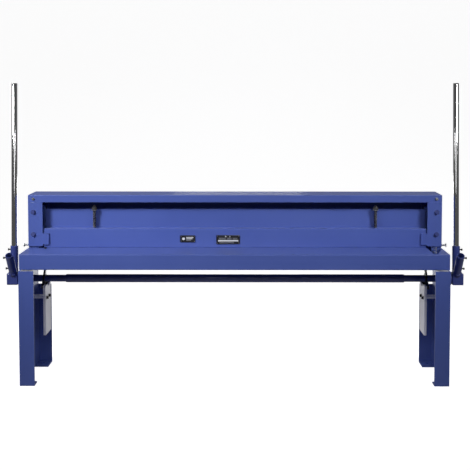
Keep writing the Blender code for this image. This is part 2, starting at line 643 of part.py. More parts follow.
def make_leaf():
    half = ARM_INNER - GAP
    wall = 0.006
    top = BED_TOP - BLADE_WIDTH - GAP
    outer = rectangle((LEAF_FRONT, LEAF_REAR), (LEAF_BOTTOM, top))
    inner = rectangle((LEAF_FRONT + wall, LEAF_REAR - wall), (LEAF_BOTTOM + wall, top - wall))
    flat_piece("leaf_beam", [outer, inner], "X", -half, half, "blue_paint", "bending_leaf")
    blade = solid_piece("leaf_blade", [
        ("box", (-half, half), (LEAF_FRONT, LEAF_REAR), (BED_TOP - BLADE_WIDTH, BED_TOP))],
        "ground_steel", "bending_leaf")
    round_edges(blade, 0.0008, 1)
    pin = (BEND_Y + CRANK_Y, BED_TOP + CRANK_Z)
    corner = 0.004
    outline = hull_of_circles([
        (BEND_Y, BED_TOP, HINGE_PIN_RADIUS + HINGE_BOSS), (*pin, PIN_RADIUS + 0.012),
        (LEAF_REAR - corner, BED_TOP - corner, corner),
        (LEAF_REAR - corner, LEAF_BOTTOM + corner, corner),
        (LEAF_FRONT + corner, LEAF_BOTTOM + corner, corner)])
    holes = [circle((BEND_Y, BED_TOP), HINGE_PIN_RADIUS + BORE_CLEARANCE, 24),
             circle(pin, PIN_RADIUS + GAP, 20)]
    for side, sign in SIDES:
        start, end = span(sign, ARM_INNER, ARM_OUTER)
        flat_piece(f"leaf_arm_{side}", [outline, *holes], "X", start, end, "blue_paint", "bending_leaf")
        solid_piece(f"leaf_pin_{side}", [
            ("rod", (sign * (ARM_INNER + 0.001), *pin), (sign, 0, 0), PIN_RADIUS,
             PIN_END - ARM_INNER - 0.001, 20)], "ground_steel", "bending_leaf", smooth=True)


def make_clamp():
    half = HALF_OPENING - 0.004
    bottom = BED_TOP + 0.001
    front, web_front = PANEL_FRONT, PANEL_FRONT + LEDGE_DEPTH - SHEET
    web_rear, web_top = web_front + SHEET, PANEL_TOP + WEB_HEIGHT
    section = [(front, bottom), (front + SHEET, bottom), (front + SHEET, PANEL_TOP - SHEET),
               (web_rear, PANEL_TOP - SHEET), (web_rear, web_top), (web_front, web_top),
               (web_front, PANEL_TOP), (front, PANEL_TOP)]
    section = folded(section, (7, 3), (2, 6))
    flat_piece("clamp_panel", [section], "X", -half, half, "blue_paint", "clamp_beam")

    nose_front = web_rear + 0.080
    box_front, box_rear = web_rear + GAP, nose_front - GAP
    outer = rectangle((box_front, box_rear), (bottom, PANEL_TOP + 0.015))
    inner = rectangle((box_front + SHEET, box_rear - SHEET), (bottom + SHEET, PANEL_TOP + 0.015 - SHEET))
    flat_piece("clamp_box", [outer, inner], "X", -half, half, "blue_paint", "clamp_beam")

    tip = BEND_Y - NOSE_SETBACK
    bevel_rear = max(tip - NOSE_HEIGHT, nose_front + 0.004)
    rise = tip - bevel_rear
    nose = [(nose_front, BED_TOP + GAP), (tip, BED_TOP + GAP), (tip, BED_TOP + 0.002),
            (bevel_rear, BED_TOP + 0.002 + rise), (nose_front, BED_TOP + 0.002 + rise)]
    flat_piece("clamp_nose", [nose], "X", -half, half, "ground_steel", "clamp_beam")

    rod_y = front + 0.029
    nut_bottom = PANEL_TOP + ROD_HEIGHT - 0.030
    nut_outline = [circle((0, rod_y), 0.0185, 6), circle((0, rod_y), ROD_RADIUS + GAP, 24)]
    for side, sign in SIDES:
        solid_piece(f"threaded_rod_{side}", [
            ("rod", (sign * ROD_OFFSET, rod_y, PANEL_TOP + GAP), (0, 0, 1), ROD_RADIUS,
             ROD_HEIGHT, 24)], "zinc_steel", "clamp_beam", smooth=True)
        moved = [[(sign * ROD_OFFSET + x, y) for x, y in loop] for loop in nut_outline]
        flat_piece(f"rod_nut_{side}", moved, "Z", nut_bottom, nut_bottom + 0.018,
                   "zinc_steel", "clamp_beam")

    for name, middle, width, low, height in (("name_plate", -0.3075, 0.098, 0.036, 0.045),
                                             ("data_plate", -0.044, 0.153, 0.024, 0.058)):
        solid_piece(name, [
            ("box", (middle - width / 2, middle + width / 2), (front - GAP - 0.0012, front - GAP),
             (BED_TOP + low, BED_TOP + low + height))], "label_plate", "clamp_beam")


def make_side_screws():
    for side, sign in SIDES:
        inside, head = HALF_FRAME - SHEET - 0.006, HALF_FRAME + 0.032
        joined_piece(f"side_screw_{side}", [
            ("rod", (sign * inside, SCREW_Y, SCREW_Z), (sign, 0, 0), 0.006, head - inside + 0.002, 16),
            ("rod", (sign * head, SCREW_Y, SCREW_Z), (sign, 0, 0), 0.011, 0.005, 16)],
            "zinc_steel", f"side_screw_{side}")


def make_bodies():
    make_body("frame", (0, 0, 0))
    make_body("lever_shaft", (0, SHAFT_Y, SHAFT_Z))
    make_body("bending_leaf", (0, BEND_Y, BED_TOP))
    make_body("clamp_beam", (0, PANEL_FRONT, BED_TOP))
    for side, sign in SIDES:
        make_body(f"lever_bar_{side}", (sign * SOCKET_X, SHAFT_Y, SHAFT_Z))
        make_body(f"drive_link_{side}", (sign * LINK_INNER, SHAFT_Y + CRANK_Y, SHAFT_Z + CRANK_Z))
        make_body(f"side_screw_{side}", (sign * HALF_FRAME, SCREW_Y, SCREW_Z))
    bpy.context.view_layer.update()


def main():
    make_bodies()
    make_legs()
    make_bed()
    make_end_frames()
    make_cover()
    make_shaft_supports()
    make_hinges()
    make_side_covers()
    make_shelf_spring()
    make_shaft()
    make_lever_hubs()
    make_drive_links()
    make_leaf()
    make_clamp()
    make_side_screws()


main()
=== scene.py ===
import math
import bpy
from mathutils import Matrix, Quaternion, Vector


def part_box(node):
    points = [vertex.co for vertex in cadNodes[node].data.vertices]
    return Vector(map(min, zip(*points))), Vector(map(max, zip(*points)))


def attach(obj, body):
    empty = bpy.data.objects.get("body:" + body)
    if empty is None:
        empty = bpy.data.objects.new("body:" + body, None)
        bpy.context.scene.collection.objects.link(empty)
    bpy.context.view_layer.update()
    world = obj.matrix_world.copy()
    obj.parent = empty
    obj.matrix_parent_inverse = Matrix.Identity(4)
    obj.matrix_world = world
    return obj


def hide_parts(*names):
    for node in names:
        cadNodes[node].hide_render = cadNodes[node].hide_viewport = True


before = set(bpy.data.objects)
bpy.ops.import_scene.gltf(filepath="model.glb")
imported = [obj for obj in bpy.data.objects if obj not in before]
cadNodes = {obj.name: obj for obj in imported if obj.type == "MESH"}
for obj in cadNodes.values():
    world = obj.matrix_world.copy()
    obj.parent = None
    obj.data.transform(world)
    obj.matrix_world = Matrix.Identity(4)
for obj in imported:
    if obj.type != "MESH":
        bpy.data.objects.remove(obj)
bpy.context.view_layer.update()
sides = (("left", -1), ("right", 1))


# Steps that every piece uses

def deselectAll():
    if bpy.context.object and bpy.context.object.mode != "OBJECT":
        bpy.ops.object.mode_set(mode="OBJECT")
    bpy.ops.object.select_all(action="DESELECT")


def pick(piece):
    deselectAll()
    piece.select_set(True)
    bpy.context.view_layer.objects.active = piece


def applyStep(piece, kind, **values):
    pick(piece)
    bpy.ops.object.modifier_add(type=kind)
    step = piece.modifiers[-1]
    for key, value in values.items():
        setattr(step, key, value)
    bpy.ops.object.modifier_apply(modifier=step.name)


def cleanUp(piece, threshold=0.000004):
    pick(piece)
    bpy.ops.object.mode_set(mode="EDIT")
    bpy.ops.mesh.select_all(action="SELECT")
    bpy.ops.mesh.remove_doubles(threshold=threshold)
    bpy.ops.mesh.normals_make_consistent(inside=False)
    bpy.ops.object.mode_set(mode="OBJECT")


def smooth(piece, angle=32):
    pick(piece)
    bpy.ops.object.shade_smooth_by_angle(angle=math.radians(angle))


# A piece is made along Z at the origin, then laid along a direction from a start point.
def lay(piece, start, direction=(0, 0, 1), spin=0.0):
    turn = Vector((0, 0, 1)).rotation_difference(Vector(direction).normalized())
    piece.rotation_mode = "QUATERNION"
    piece.rotation_quaternion = turn @ Quaternion((0, 0, 1), math.radians(spin))
    piece.location = start
    pick(piece)
    bpy.ops.object.transform_apply(location=True, rotation=True, scale=True)


def copyOf(piece, name, shift=(0, 0, 0), flip=False):
    pick(piece)
    bpy.ops.object.duplicate()
    twin = bpy.context.object
    twin.name = name
    twin.data.name = name
    twin.location = shift
    if flip:
        twin.scale = (-1, 1, 1)
    bpy.ops.object.transform_apply(location=True, rotation=True, scale=True)
    if flip:
        cleanUp(twin)
    return twin


def joinAll(pieces, name):
    deselectAll()
    for piece in pieces:
        piece.select_set(True)
    bpy.context.view_layer.objects.active = pieces[0]
    bpy.ops.object.join()
    joined = bpy.context.object
    joined.name = name
    joined.data.name = name
    return joined


def finishPiece(piece, material, body, replaced=()):
    piece.data.materials.clear()
    piece.data.materials.append(material)
    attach(piece, body)
    for node in replaced:
        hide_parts(node)
    return piece


# A piece modelled on the right gets its mirror image on the left, and both are finished.
def finishPair(piece, material, body, node="", angle=32, leftBody=None):
    twin = copyOf(piece, piece.name.replace("right", "left"), flip=True)
    smooth(twin, angle)
    finishPiece(piece, material, body, [node + "_right"] if node else [])
    finishPiece(twin, material, leftBody or body, [node + "_left"] if node else [])


# A turned piece: a circle is extruded and resized along its profile of (radius, height).
def turned(name, profile, around=48, ring=False, angle=32):
    deselectAll()
    bpy.ops.mesh.primitive_circle_add(vertices=around, radius=profile[0][0],
                                      fill_type="NOTHING" if ring else "NGON",
                                      location=(0, 0, profile[0][1]))
    piece = bpy.context.object
    piece.name = name
    piece.data.name = name
    bpy.ops.object.transform_apply(location=True, rotation=True, scale=True)
    bpy.ops.object.mode_set(mode="EDIT")
    bpy.ops.mesh.select_all(action="SELECT")
    path = list(profile) + ([profile[0]] if ring else [])
    for (oldRadius, oldHeight), (radius, height) in zip(path, path[1:]):
        bpy.ops.mesh.extrude_region_move(
            TRANSFORM_OT_translate={"value": (0, 0, height - oldHeight)})
        if radius != oldRadius:
            scale = radius / oldRadius
            bpy.ops.transform.resize(value=(scale, scale, 1), center_override=(0, 0, height))
    bpy.ops.object.mode_set(mode="OBJECT")
    cleanUp(piece)
    smooth(piece, angle)
    return piece


# A thread: one tooth is screwed up the axis, then cut square at both ends.
def threaded(name, settings):
    deselectAll()
    pitch, radius = settings["pitch"], settings["radius"]
    root = radius - 0.58 * pitch
    bpy.ops.mesh.primitive_plane_add(size=1)
    piece = bpy.context.object
    piece.name = name
    bpy.ops.object.mode_set(mode="EDIT")
    bpy.ops.mesh.select_all(action="SELECT")
    bpy.ops.mesh.delete(type="VERT")
    bpy.ops.object.mode_set(mode="OBJECT")
    tooth = [(root, 0), (radius, 0.40 * pitch), (radius, 0.55 * pitch), (root, 0.95 * pitch), (root, pitch)]
    piece.data.from_pydata([(r, 0, z) for r, z in tooth], [(i, i + 1) for i in range(len(tooth) - 1)], [])
    turns = math.ceil(settings["length"] / pitch) + 2
    applyStep(piece, "SCREW", angle=math.tau, screw_offset=pitch, iterations=turns,
              steps=settings["around"], render_steps=settings["around"], use_merge_vertices=True,
              merge_threshold=0.000002, use_smooth_shade=False)
    pick(piece)
    bpy.ops.object.mode_set(mode="EDIT")
    bpy.ops.mesh.select_all(action="SELECT")
    bpy.ops.mesh.remove_doubles(threshold=0.000002)
    for height, above in ((pitch * 1.2, False), (pitch * 1.2 + settings["length"], True)):
        bpy.ops.mesh.select_all(action="SELECT")
        bpy.ops.mesh.bisect(plane_co=(0, 0, height), plane_no=(0, 0, 1), use_fill=True,
                            clear_outer=above, clear_inner=not above)
    bpy.ops.mesh.select_all(action="SELECT")
    bpy.ops.transform.translate(value=(0, 0, -pitch * 1.2))
    bpy.ops.mesh.normals_make_consistent(inside=False)
    bpy.ops.object.mode_set(mode="OBJECT")
    smooth(piece, 20)
    return piece


# A hexagon with both faces chamfered: a six-sided prism cut by a turned blank.
def hexagon(name, settings):
    across, height, bore = settings["corner"], settings["height"], settings.get("bore", 0)
    chamfer = settings.get("chamfer", 0.12)
    deselectAll()
    bpy.ops.mesh.primitive_cylinder_add(vertices=6, radius=across, depth=height, location=(0, 0, height / 2))
    piece = bpy.context.object
    piece.name = name
    piece.data.name = name
    bpy.ops.object.transform_apply(location=True, rotation=True, scale=True)
    blank = turned("blank", [(across * 0.90, -0.00001 if settings.get("flatFoot") else 0),
                             (across * 1.02, 0.0 if settings.get("flatFoot") else height * chamfer),
                             (across * 1.02, height * (1 - chamfer * 1.6)), (across * 0.84, height + 0.00001)], 48)
    applyStep(piece, "BOOLEAN", operation="INTERSECT", object=blank, solver="EXACT")
    bpy.data.objects.remove(blank)
    if bore:
        drill = turned("drill", [(bore * 1.12, -0.001), (bore * 1.12, 0.0004), (bore, 0.0004 + bore * 0.12),
                                 (bore, height - 0.0004 - bore * 0.12), (bore * 1.12, height - 0.0004),
                                 (bore * 1.12, height + 0.001)], 48)
        applyStep(piece, "BOOLEAN", operation="DIFFERENCE", object=drill, solver="EXACT")
        bpy.data.objects.remove(drill)
    cleanUp(piece)
    smooth(piece, 28)
    return piece


# A weld bead along a straight corner, rippled as the torch moved.
def weldLine(name, start, end, radius=0.0035, ripple=0.0045):
    length = (Vector(end) - Vector(start)).length
    count = max(4, int(length / ripple))
    profile = [(radius * 0.55, 0)]
    for index in range(count):
        low = length * index / count
        step = length / count
        wobble = 1 + 0.07 * math.sin(index * 2.3) + 0.05 * math.sin(index * 5.1)
        profile += [(radius * 0.90 * wobble, low + step * 0.18), (radius * wobble, low + step * 0.55)]
    profile.append((radius * 0.55, length))
    piece = turned(name, profile, 10, angle=60)
    lay(piece, start, Vector(end) - Vector(start))
    return piece


# A weld bead round a shaft or a socket.
def weldRing(name, centre, direction, ringRadius, beadRadius):
    deselectAll()
    count = int(math.tau * ringRadius / 0.0022) // 2 * 2
    bpy.ops.mesh.primitive_torus_add(major_radius=ringRadius, minor_radius=beadRadius,
                                     major_segments=count, minor_segments=10)
    piece = bpy.context.object
    piece.name = name
    piece.data.name = name
    texture = bpy.data.textures.new(name, "CLOUDS")
    texture.noise_scale = 0.006
    applyStep(piece, "DISPLACE", texture=texture, strength=beadRadius * 0.55, texture_coords="LOCAL")
    cleanUp(piece)
    smooth(piece, 60)
    lay(piece, centre, direction)
    return piece


# A finer copy of a folded or cut plate: its doubles merged, its edges rounded, its flat faces kept flat.
def refined(nodeName, width=0.0009, segments=2, name=None):
    pick(cadNodes[nodeName])
    bpy.ops.object.duplicate()
    piece = bpy.context.object
    piece.name = name or nodeName + "_finished"
    piece.data.name = piece.name
    piece.parent = None
    bpy.ops.object.mode_set(mode="EDIT")
    bpy.ops.mesh.select_all(action="SELECT")
    bpy.ops.mesh.customdata_custom_splitnormals_clear()
    bpy.ops.mesh.remove_doubles(threshold=0.00002)
    bpy.ops.mesh.dissolve_limited(angle_limit=math.radians(0.8), delimit=set())
    bpy.ops.mesh.normals_make_consistent(inside=False)
    bpy.ops.object.mode_set(mode="OBJECT")
    piece.data.materials.clear()
    applyStep(piece, "BEVEL", width=width, segments=segments, limit_method="ANGLE",
              angle_limit=math.radians(40), profile=0.5, use_clamp_overlap=True)
    smooth(piece, 38)
    applyStep(piece, "WEIGHTED_NORMAL", keep_sharp=True, weight=80)
    return piece


# Surface effects, each one node group

def newGroup(name, inputs, outputs):
    group = bpy.data.node_groups.new(name, "ShaderNodeTree")
    for label, kind, value in inputs:
        socket = group.interface.new_socket(name=label, in_out="INPUT", socket_type=kind)
        socket.default_value = value
    for label, kind in outputs:
        group.interface.new_socket(name=label, in_out="OUTPUT", socket_type=kind)
    return group, group.nodes.new("NodeGroupInput"), group.nodes.new("NodeGroupOutput")


def addNode(tree, kind, links=None, **values):
    node = tree.nodes.new(kind)
    for key, value in values.items():
        if key.startswith("in_"):
            node.inputs[int(key[3:])].default_value = value
        else:
            setattr(node, key, value)
    for target, source in (links or {}).items():
        tree.links.new(source, node.inputs[target])
    return node


def makeCoatGroup():
    group, ins, outs = newGroup("sprayedCoat", [
        ("Paint", "NodeSocketColor", (0.1, 0.1, 0.1, 1)), ("Thin Paint", "NodeSocketColor", (0.2, 0.2, 0.2, 1)),
        ("Dust", "NodeSocketColor", (0.5, 0.5, 0.5, 1)), ("Peel Size", "NodeSocketFloat", 300.0),
        ("Mottle", "NodeSocketFloat", 0.1), ("Dust Amount", "NodeSocketFloat", 0.05),
        ("Rough Low", "NodeSocketFloat", 0.3), ("Rough High", "NodeSocketFloat", 0.5)],
        [("Color", "NodeSocketColor"), ("Roughness", "NodeSocketFloat"), ("Height", "NodeSocketFloat")])
    place = addNode(group, "ShaderNodeTexCoord").outputs["Object"]
    peel = addNode(group, "ShaderNodeTexNoise", {"Vector": place, "Scale": ins.outputs["Peel Size"]})
    peel.inputs["Detail"].default_value = 2.0
    peel.inputs["Roughness"].default_value = 0.45
    clouds = addNode(group, "ShaderNodeTexNoise", {"Vector": place})
    clouds.inputs["Scale"].default_value = 2.6
    clouds.inputs["Detail"].default_value = 5.0
    fine = addNode(group, "ShaderNodeTexNoise", {"Vector": place})
    fine.inputs["Scale"].default_value = 46.0
    fine.inputs["Detail"].default_value = 6.0
    spread = addNode(group, "ShaderNodeMapRange", {"Value": clouds.outputs["Fac"]}, in_1=0.3, in_2=0.7)
    mottle = addNode(group, "ShaderNodeMath", {0: spread.outputs[0], 1: ins.outputs["Mottle"]},
                     operation="MULTIPLY")
    base = addNode(group, "ShaderNodeMix", {"Factor": mottle.outputs[0]}, data_type="RGBA")
    group.links.new(ins.outputs["Paint"], base.inputs[6])
    group.links.new(ins.outputs["Thin Paint"], base.inputs[7])
    facing = addNode(group, "ShaderNodeSeparateXYZ", {0: addNode(group, "ShaderNodeNewGeometry").outputs["Normal"]})
    upward = addNode(group, "ShaderNodeMapRange", {"Value": facing.outputs["Z"]}, in_1=0.35, in_2=1.0)
    specks = addNode(group, "ShaderNodeMapRange", {"Value": fine.outputs["Fac"]}, in_1=0.40, in_2=0.72)
    settled = addNode(group, "ShaderNodeMath", {0: upward.outputs[0], 1: specks.outputs[0]}, operation="MULTIPLY")
    dusty = addNode(group, "ShaderNodeMath", {0: settled.outputs[0], 1: ins.outputs["Dust Amount"]},
                    operation="MULTIPLY")
    colour = addNode(group, "ShaderNodeMix", {"Factor": dusty.outputs[0]}, data_type="RGBA")
    group.links.new(base.outputs[2], colour.inputs[6])
    group.links.new(ins.outputs["Dust"], colour.inputs[7])
    blend = addNode(group, "ShaderNodeMath", {0: fine.outputs["Fac"], 1: spread.outputs[0]},
                    operation="MULTIPLY_ADD", in_2=0.1)
    rough = addNode(group, "ShaderNodeMapRange", {"Value": blend.outputs[0], "To Min": ins.outputs["Rough Low"],
                                                   "To Max": ins.outputs["Rough High"]}, in_1=0.1, in_2=0.7)
    group.links.new(colour.outputs[2], outs.inputs["Color"])
    group.links.new(rough.outputs[0], outs.inputs["Roughness"])
    group.links.new(peel.outputs["Fac"], outs.inputs["Height"])
    return group


def makeGrainGroup():
    group, ins, outs = newGroup("metalGrain", [
        ("Metal", "NodeSocketColor", (0.5, 0.5, 0.5, 1)), ("Stain", "NodeSocketColor", (0.3, 0.3, 0.3, 1)),
        ("Stretch", "NodeSocketVector", (1, 1, 1)), ("Grain", "NodeSocketFloat", 400.0),
        ("Stain Amount", "NodeSocketFloat", 0.3), ("Rough Low", "NodeSocketFloat", 0.2),
        ("Rough High", "NodeSocketFloat", 0.4)],
        [("Color", "NodeSocketColor"), ("Roughness", "NodeSocketFloat"), ("Height", "NodeSocketFloat")])
    place = addNode(group, "ShaderNodeTexCoord").outputs["Object"]
    stretched = addNode(group, "ShaderNodeVectorMath", {0: place, 1: ins.outputs["Stretch"]}, operation="MULTIPLY")
    grain = addNode(group, "ShaderNodeTexNoise", {"Vector": stretched.outputs[0], "Scale": ins.outputs["Grain"]})
    grain.inputs["Detail"].default_value = 4.0
    patches = addNode(group, "ShaderNodeTexNoise", {"Vector": place})
    patches.inputs["Scale"].default_value = 28.0
    patches.inputs["Detail"].default_value = 6.0
    mask = addNode(group, "ShaderNodeMapRange", {"Value": patches.outputs["Fac"]}, in_1=0.42, in_2=0.70)
    amount = addNode(group, "ShaderNodeMath", {0: mask.outputs[0], 1: ins.outputs["Stain Amount"]},
                     operation="MULTIPLY")
    colour = addNode(group, "ShaderNodeMix", {"Factor": amount.outputs[0]}, data_type="RGBA")
    group.links.new(ins.outputs["Metal"], colour.inputs[6])
    group.links.new(ins.outputs["Stain"], colour.inputs[7])
    rough = addNode(group, "ShaderNodeMapRange", {"Value": grain.outputs["Fac"], "To Min": ins.outputs["Rough Low"],
                                                   "To Max": ins.outputs["Rough High"]}, in_1=0.3, in_2=0.7)
    group.links.new(colour.outputs[2], outs.inputs["Color"])
    group.links.new(rough.outputs[0], outs.inputs["Roughness"])
    group.links.new(grain.outputs["Fac"], outs.inputs["Height"])
    return group


coatGroup = makeCoatGroup()
grainGroup = makeGrainGroup()


def finishWith(name, group, settings, fixed, bump):
    material = bpy.data.materials.new(name)
    material.use_nodes = True
    tree = material.node_tree
    shader = tree.nodes["Principled BSDF"]
    effect = tree.nodes.new("ShaderNodeGroup")
    effect.node_tree = group
    for key, value in settings.items():
        effect.inputs[key].default_value = value
    for key, value in fixed.items():
        shader.inputs[key].default_value = value
    relief = tree.nodes.new("ShaderNodeBump")
    relief.inputs["Strength"].default_value = bump[0]
    relief.inputs["Distance"].default_value = bump[1]
    tree.links.new(effect.outputs["Color"], shader.inputs["Base Color"])
    tree.links.new(effect.outputs["Roughness"], shader.inputs["Roughness"])
    tree.links.new(effect.outputs["Height"], relief.inputs["Height"])
    tree.links.new(relief.outputs["Normal"], shader.inputs["Normal"])
    return material


bluePaint = finishWith("bluePowderCoat", coatGroup, {
    "Paint": (0.060, 0.098, 0.360, 1), "Thin Paint": (0.070, 0.112, 0.390, 1), "Dust": (0.30, 0.34, 0.52, 1),
    "Peel Size": 330.0, "Mottle": 0.55, "Dust Amount": 0.10, "Rough Low": 0.34, "Rough High": 0.46},
    {"Specular IOR Level": 0.5, "Coat Weight": 0.12, "Coat Roughness": 0.18}, (0.16, 0.0009))
# Blue powder coat darkened as painted shade: the torsion tube, shaft ends, bearing housings and lever hubs that lie
# in shade under the bed get this darker copy.
shadedBlue = finishWith("blueWithPaintedShade", coatGroup, {
    "Paint": (0.034, 0.050, 0.215, 1), "Thin Paint": (0.044, 0.064, 0.255, 1), "Dust": (0.18, 0.20, 0.34, 1),
    "Peel Size": 420.0, "Mottle": 0.6, "Dust Amount": 0.06, "Rough Low": 0.28, "Rough High": 0.42},
    {"Specular IOR Level": 0.5, "Coat Weight": 0.2, "Coat Roughness": 0.15}, (0.14, 0.0008))
greyPaint = finishWith("lightGreyPaint", coatGroup, {
    "Paint": (0.86, 0.85, 0.92, 1), "Thin Paint": (0.88, 0.87, 0.93, 1), "Dust": (0.62, 0.61, 0.64, 1),
    "Peel Size": 380.0, "Mottle": 0.5, "Dust Amount": 0.08, "Rough Low": 0.36, "Rough High": 0.5},
    {"Specular IOR Level": 0.5}, (0.12, 0.0008))
chromePlate = finishWith("polishedChrome", grainGroup, {
    "Metal": (0.74, 0.74, 0.75, 1), "Stain": (0.60, 0.60, 0.62, 1), "Stretch": (1.0, 1.0, 0.06),
    "Grain": 900.0, "Stain Amount": 0.25, "Rough Low": 0.06, "Rough High": 0.13},
    {"Metallic": 1.0}, (0.02, 0.0002))
zincPlate = finishWith("zincPlatedSteel", grainGroup, {
    "Metal": (0.52, 0.53, 0.56, 1), "Stain": (0.36, 0.35, 0.33, 1), "Stretch": (1.0, 1.0, 1.0),
    "Grain": 700.0, "Stain Amount": 0.4, "Rough Low": 0.24, "Rough High": 0.40},
    {"Metallic": 1.0}, (0.05, 0.0002))
groundSteel = finishWith("groundSteel", grainGroup, {
    "Metal": (0.44, 0.44, 0.46, 1), "Stain": (0.27, 0.25, 0.23, 1), "Stretch": (1.0, 0.03, 1.0),
    "Grain": 900.0, "Stain Amount": 0.35, "Rough Low": 0.20, "Rough High": 0.38},
    {"Metallic": 1.0}, (0.08, 0.0002))
blackOxide = finishWith("blackOxideSteel", grainGroup, {
    "Metal": (0.018, 0.018, 0.022, 1), "Stain": (0.045, 0.040, 0.038, 1), "Stretch": (1.0, 1.0, 1.0),
    "Grain": 600.0, "Stain Amount": 0.5, "Rough Low": 0.30, "Rough High": 0.48},
    {"Metallic": 0.4}, (0.06, 0.0002))
weldSteel = finishWith("paintedWeld", coatGroup, {
    "Paint": (0.050, 0.082, 0.310, 1), "Thin Paint": (0.075, 0.115, 0.36, 1), "Dust": (0.25, 0.28, 0.42, 1),
    "Peel Size": 500.0, "Mottle": 0.7, "Dust Amount": 0.10, "Rough Low": 0.32, "Rough High": 0.5},
    {"Specular IOR Level": 0.5}, (0.3, 0.0006))
# Weld paint darkened the same way as painted shade, for the beads on the torsion tube and the lever hubs.
shadedWeld = finishWith("weldWithPaintedShade", coatGroup, {
    "Paint": (0.030, 0.044, 0.190, 1), "Thin Paint": (0.042, 0.060, 0.235, 1), "Dust": (0.13, 0.15, 0.22, 1),
    "Peel Size": 500.0, "Mottle": 0.7, "Dust Amount": 0.08, "Rough Low": 0.3, "Rough High": 0.48},
    {"Specular IOR Level": 0.5}, (0.3, 0.0006))
boltPaint = finishWith("boltPaint", coatGroup, {
    "Paint": (0.028, 0.040, 0.190, 1), "Thin Paint": (0.070, 0.090, 0.26, 1), "Dust": (0.16, 0.18, 0.30, 1),
    "Peel Size": 500.0, "Mottle": 0.8, "Dust Amount": 0.05, "Rough Low": 0.14, "Rough High": 0.26},
    {"Specular IOR Level": 0.6, "Coat Weight": 0.5, "Coat Roughness": 0.08}, (0.1, 0.0004))
rodSteel = finishWith("darkThreadSteel", grainGroup, {
    "Metal": (0.30, 0.30, 0.32, 1), "Stain": (0.12, 0.11, 0.10, 1), "Stretch": (1.0, 1.0, 1.0),
    "Grain": 600.0, "Stain Amount": 0.4, "Rough Low": 0.18, "Rough High": 0.34},
    {"Metallic": 1.0}, (0.05, 0.0002))
blackPlate = finishWith("blackAnodisedPlate", coatGroup, {
    "Paint": (0.010, 0.010, 0.012, 1), "Thin Paint": (0.018, 0.018, 0.020, 1), "Dust": (0.10, 0.10, 0.11, 1),
    "Peel Size": 900.0, "Mottle": 0.5, "Dust Amount": 0.04, "Rough Low": 0.28, "Rough High": 0.4},
    {"Specular IOR Level": 0.5}, (0.05, 0.0003))
whitePrint = finishWith("whitePrint", coatGroup, {
    "Paint": (0.72, 0.73, 0.75, 1), "Thin Paint": (0.62, 0.63, 0.66, 1), "Dust": (0.5, 0.5, 0.5, 1),
    "Peel Size": 900.0, "Mottle": 0.5, "Dust Amount": 0.04, "Rough Low": 0.4, "Rough High": 0.55},
    {"Specular IOR Level": 0.4}, (0.04, 0.0003))
greyPrint = finishWith("greyPrint", coatGroup, {
    "Paint": (0.26, 0.27, 0.30, 1), "Thin Paint": (0.20, 0.21, 0.24, 1), "Dust": (0.3, 0.3, 0.3, 1),
    "Peel Size": 900.0, "Mottle": 0.5, "Dust Amount": 0.04, "Rough Low": 0.4, "Rough High": 0.55},
    {"Specular IOR Level": 0.4}, (0.04, 0.0003))
# The dark_paint slot takes the blue paint darkened as painted shade.
finishOf = {"blue_paint": bluePaint, "dark_paint": shadedBlue, "grey_paint": greyPaint, "chrome": chromePlate,
            "black_steel": blackOxide, "zinc_steel": zincPlate, "ground_steel": groundSteel,
            "label_plate": blackPlate}
print("finishes ready")


# Plates and folded sections: edge radius, body and finish of each

platePieces = {
    "leg_left": (0.0010, "frame", "blue_paint"), "leg_right": (0.0010, "frame", "blue_paint"),
    "bed_shelf": (0.0012, "frame", "blue_paint"), "bed_beam": (0.0015, "frame", "blue_paint"),
    "bed_blade": (0.0003, "frame", "ground_steel"),
    "end_plate_left": (0.0006, "frame", "blue_paint"), "end_plate_right": (0.0006, "frame", "blue_paint"),
    "end_frame_left": (0.0010, "frame", "blue_paint"), "end_frame_right": (0.0010, "frame", "blue_paint"),
    "clamp_guide_left": (0.0012, "frame", "blue_paint"), "clamp_guide_right": (0.0012, "frame", "blue_paint"),
    "top_cover": (0.0014, "frame", "blue_paint"), "rear_panel": (0.0010, "frame", "blue_paint"),
    "hinge_block_left": (0.0010, "frame", "blue_paint"), "hinge_block_right": (0.0010, "frame", "blue_paint"),
    "side_cover_left": (0.0020, "frame", "grey_paint"), "side_cover_right": (0.0020, "frame", "grey_paint"),
    "crank_left": (0.0008, "lever_shaft", "black_steel"), "crank_right": (0.0008, "lever_shaft", "black_steel"),
    "drive_link_left": (0.0008, "drive_link_left", "black_steel"),
    "drive_link_right": (0.0008, "drive_link_right", "black_steel"),
    "leaf_beam": (0.0015, "bending_leaf", "blue_paint"), "leaf_blade": (0.0003, "bending_leaf", "ground_steel"),
    "leaf_arm_left": (0.0008, "bending_leaf", "blue_paint"), "leaf_arm_right": (0.0008, "bending_leaf", "blue_paint"),
    "clamp_panel": (0.0010, "clamp_beam", "blue_paint"), "clamp_box": (0.0012, "clamp_beam", "blue_paint"),
    "clamp_nose": (0.0006, "clamp_beam", "ground_steel"),
}
for nodeName, (radius, body, slot) in platePieces.items():
    finishPiece(refined(nodeName, radius), finishOf[slot], body, [nodeName])
print("plates and sections ready", len(platePieces))


# Torsion tube, its shaft ends and the bearing housings

tubeLow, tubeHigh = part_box("torsion_tube")
shaftY, shaftZ = (tubeLow[1] + tubeHigh[1]) / 2, (tubeLow[2] + tubeHigh[2]) / 2
tubeRadius = (tubeHigh[2] - tubeLow[2]) / 2
shaftSettings = {"radius": 0.0225, "bore": 0.0230, "around": 72, "chamfer": 0.0018, "bead": 0.0034}


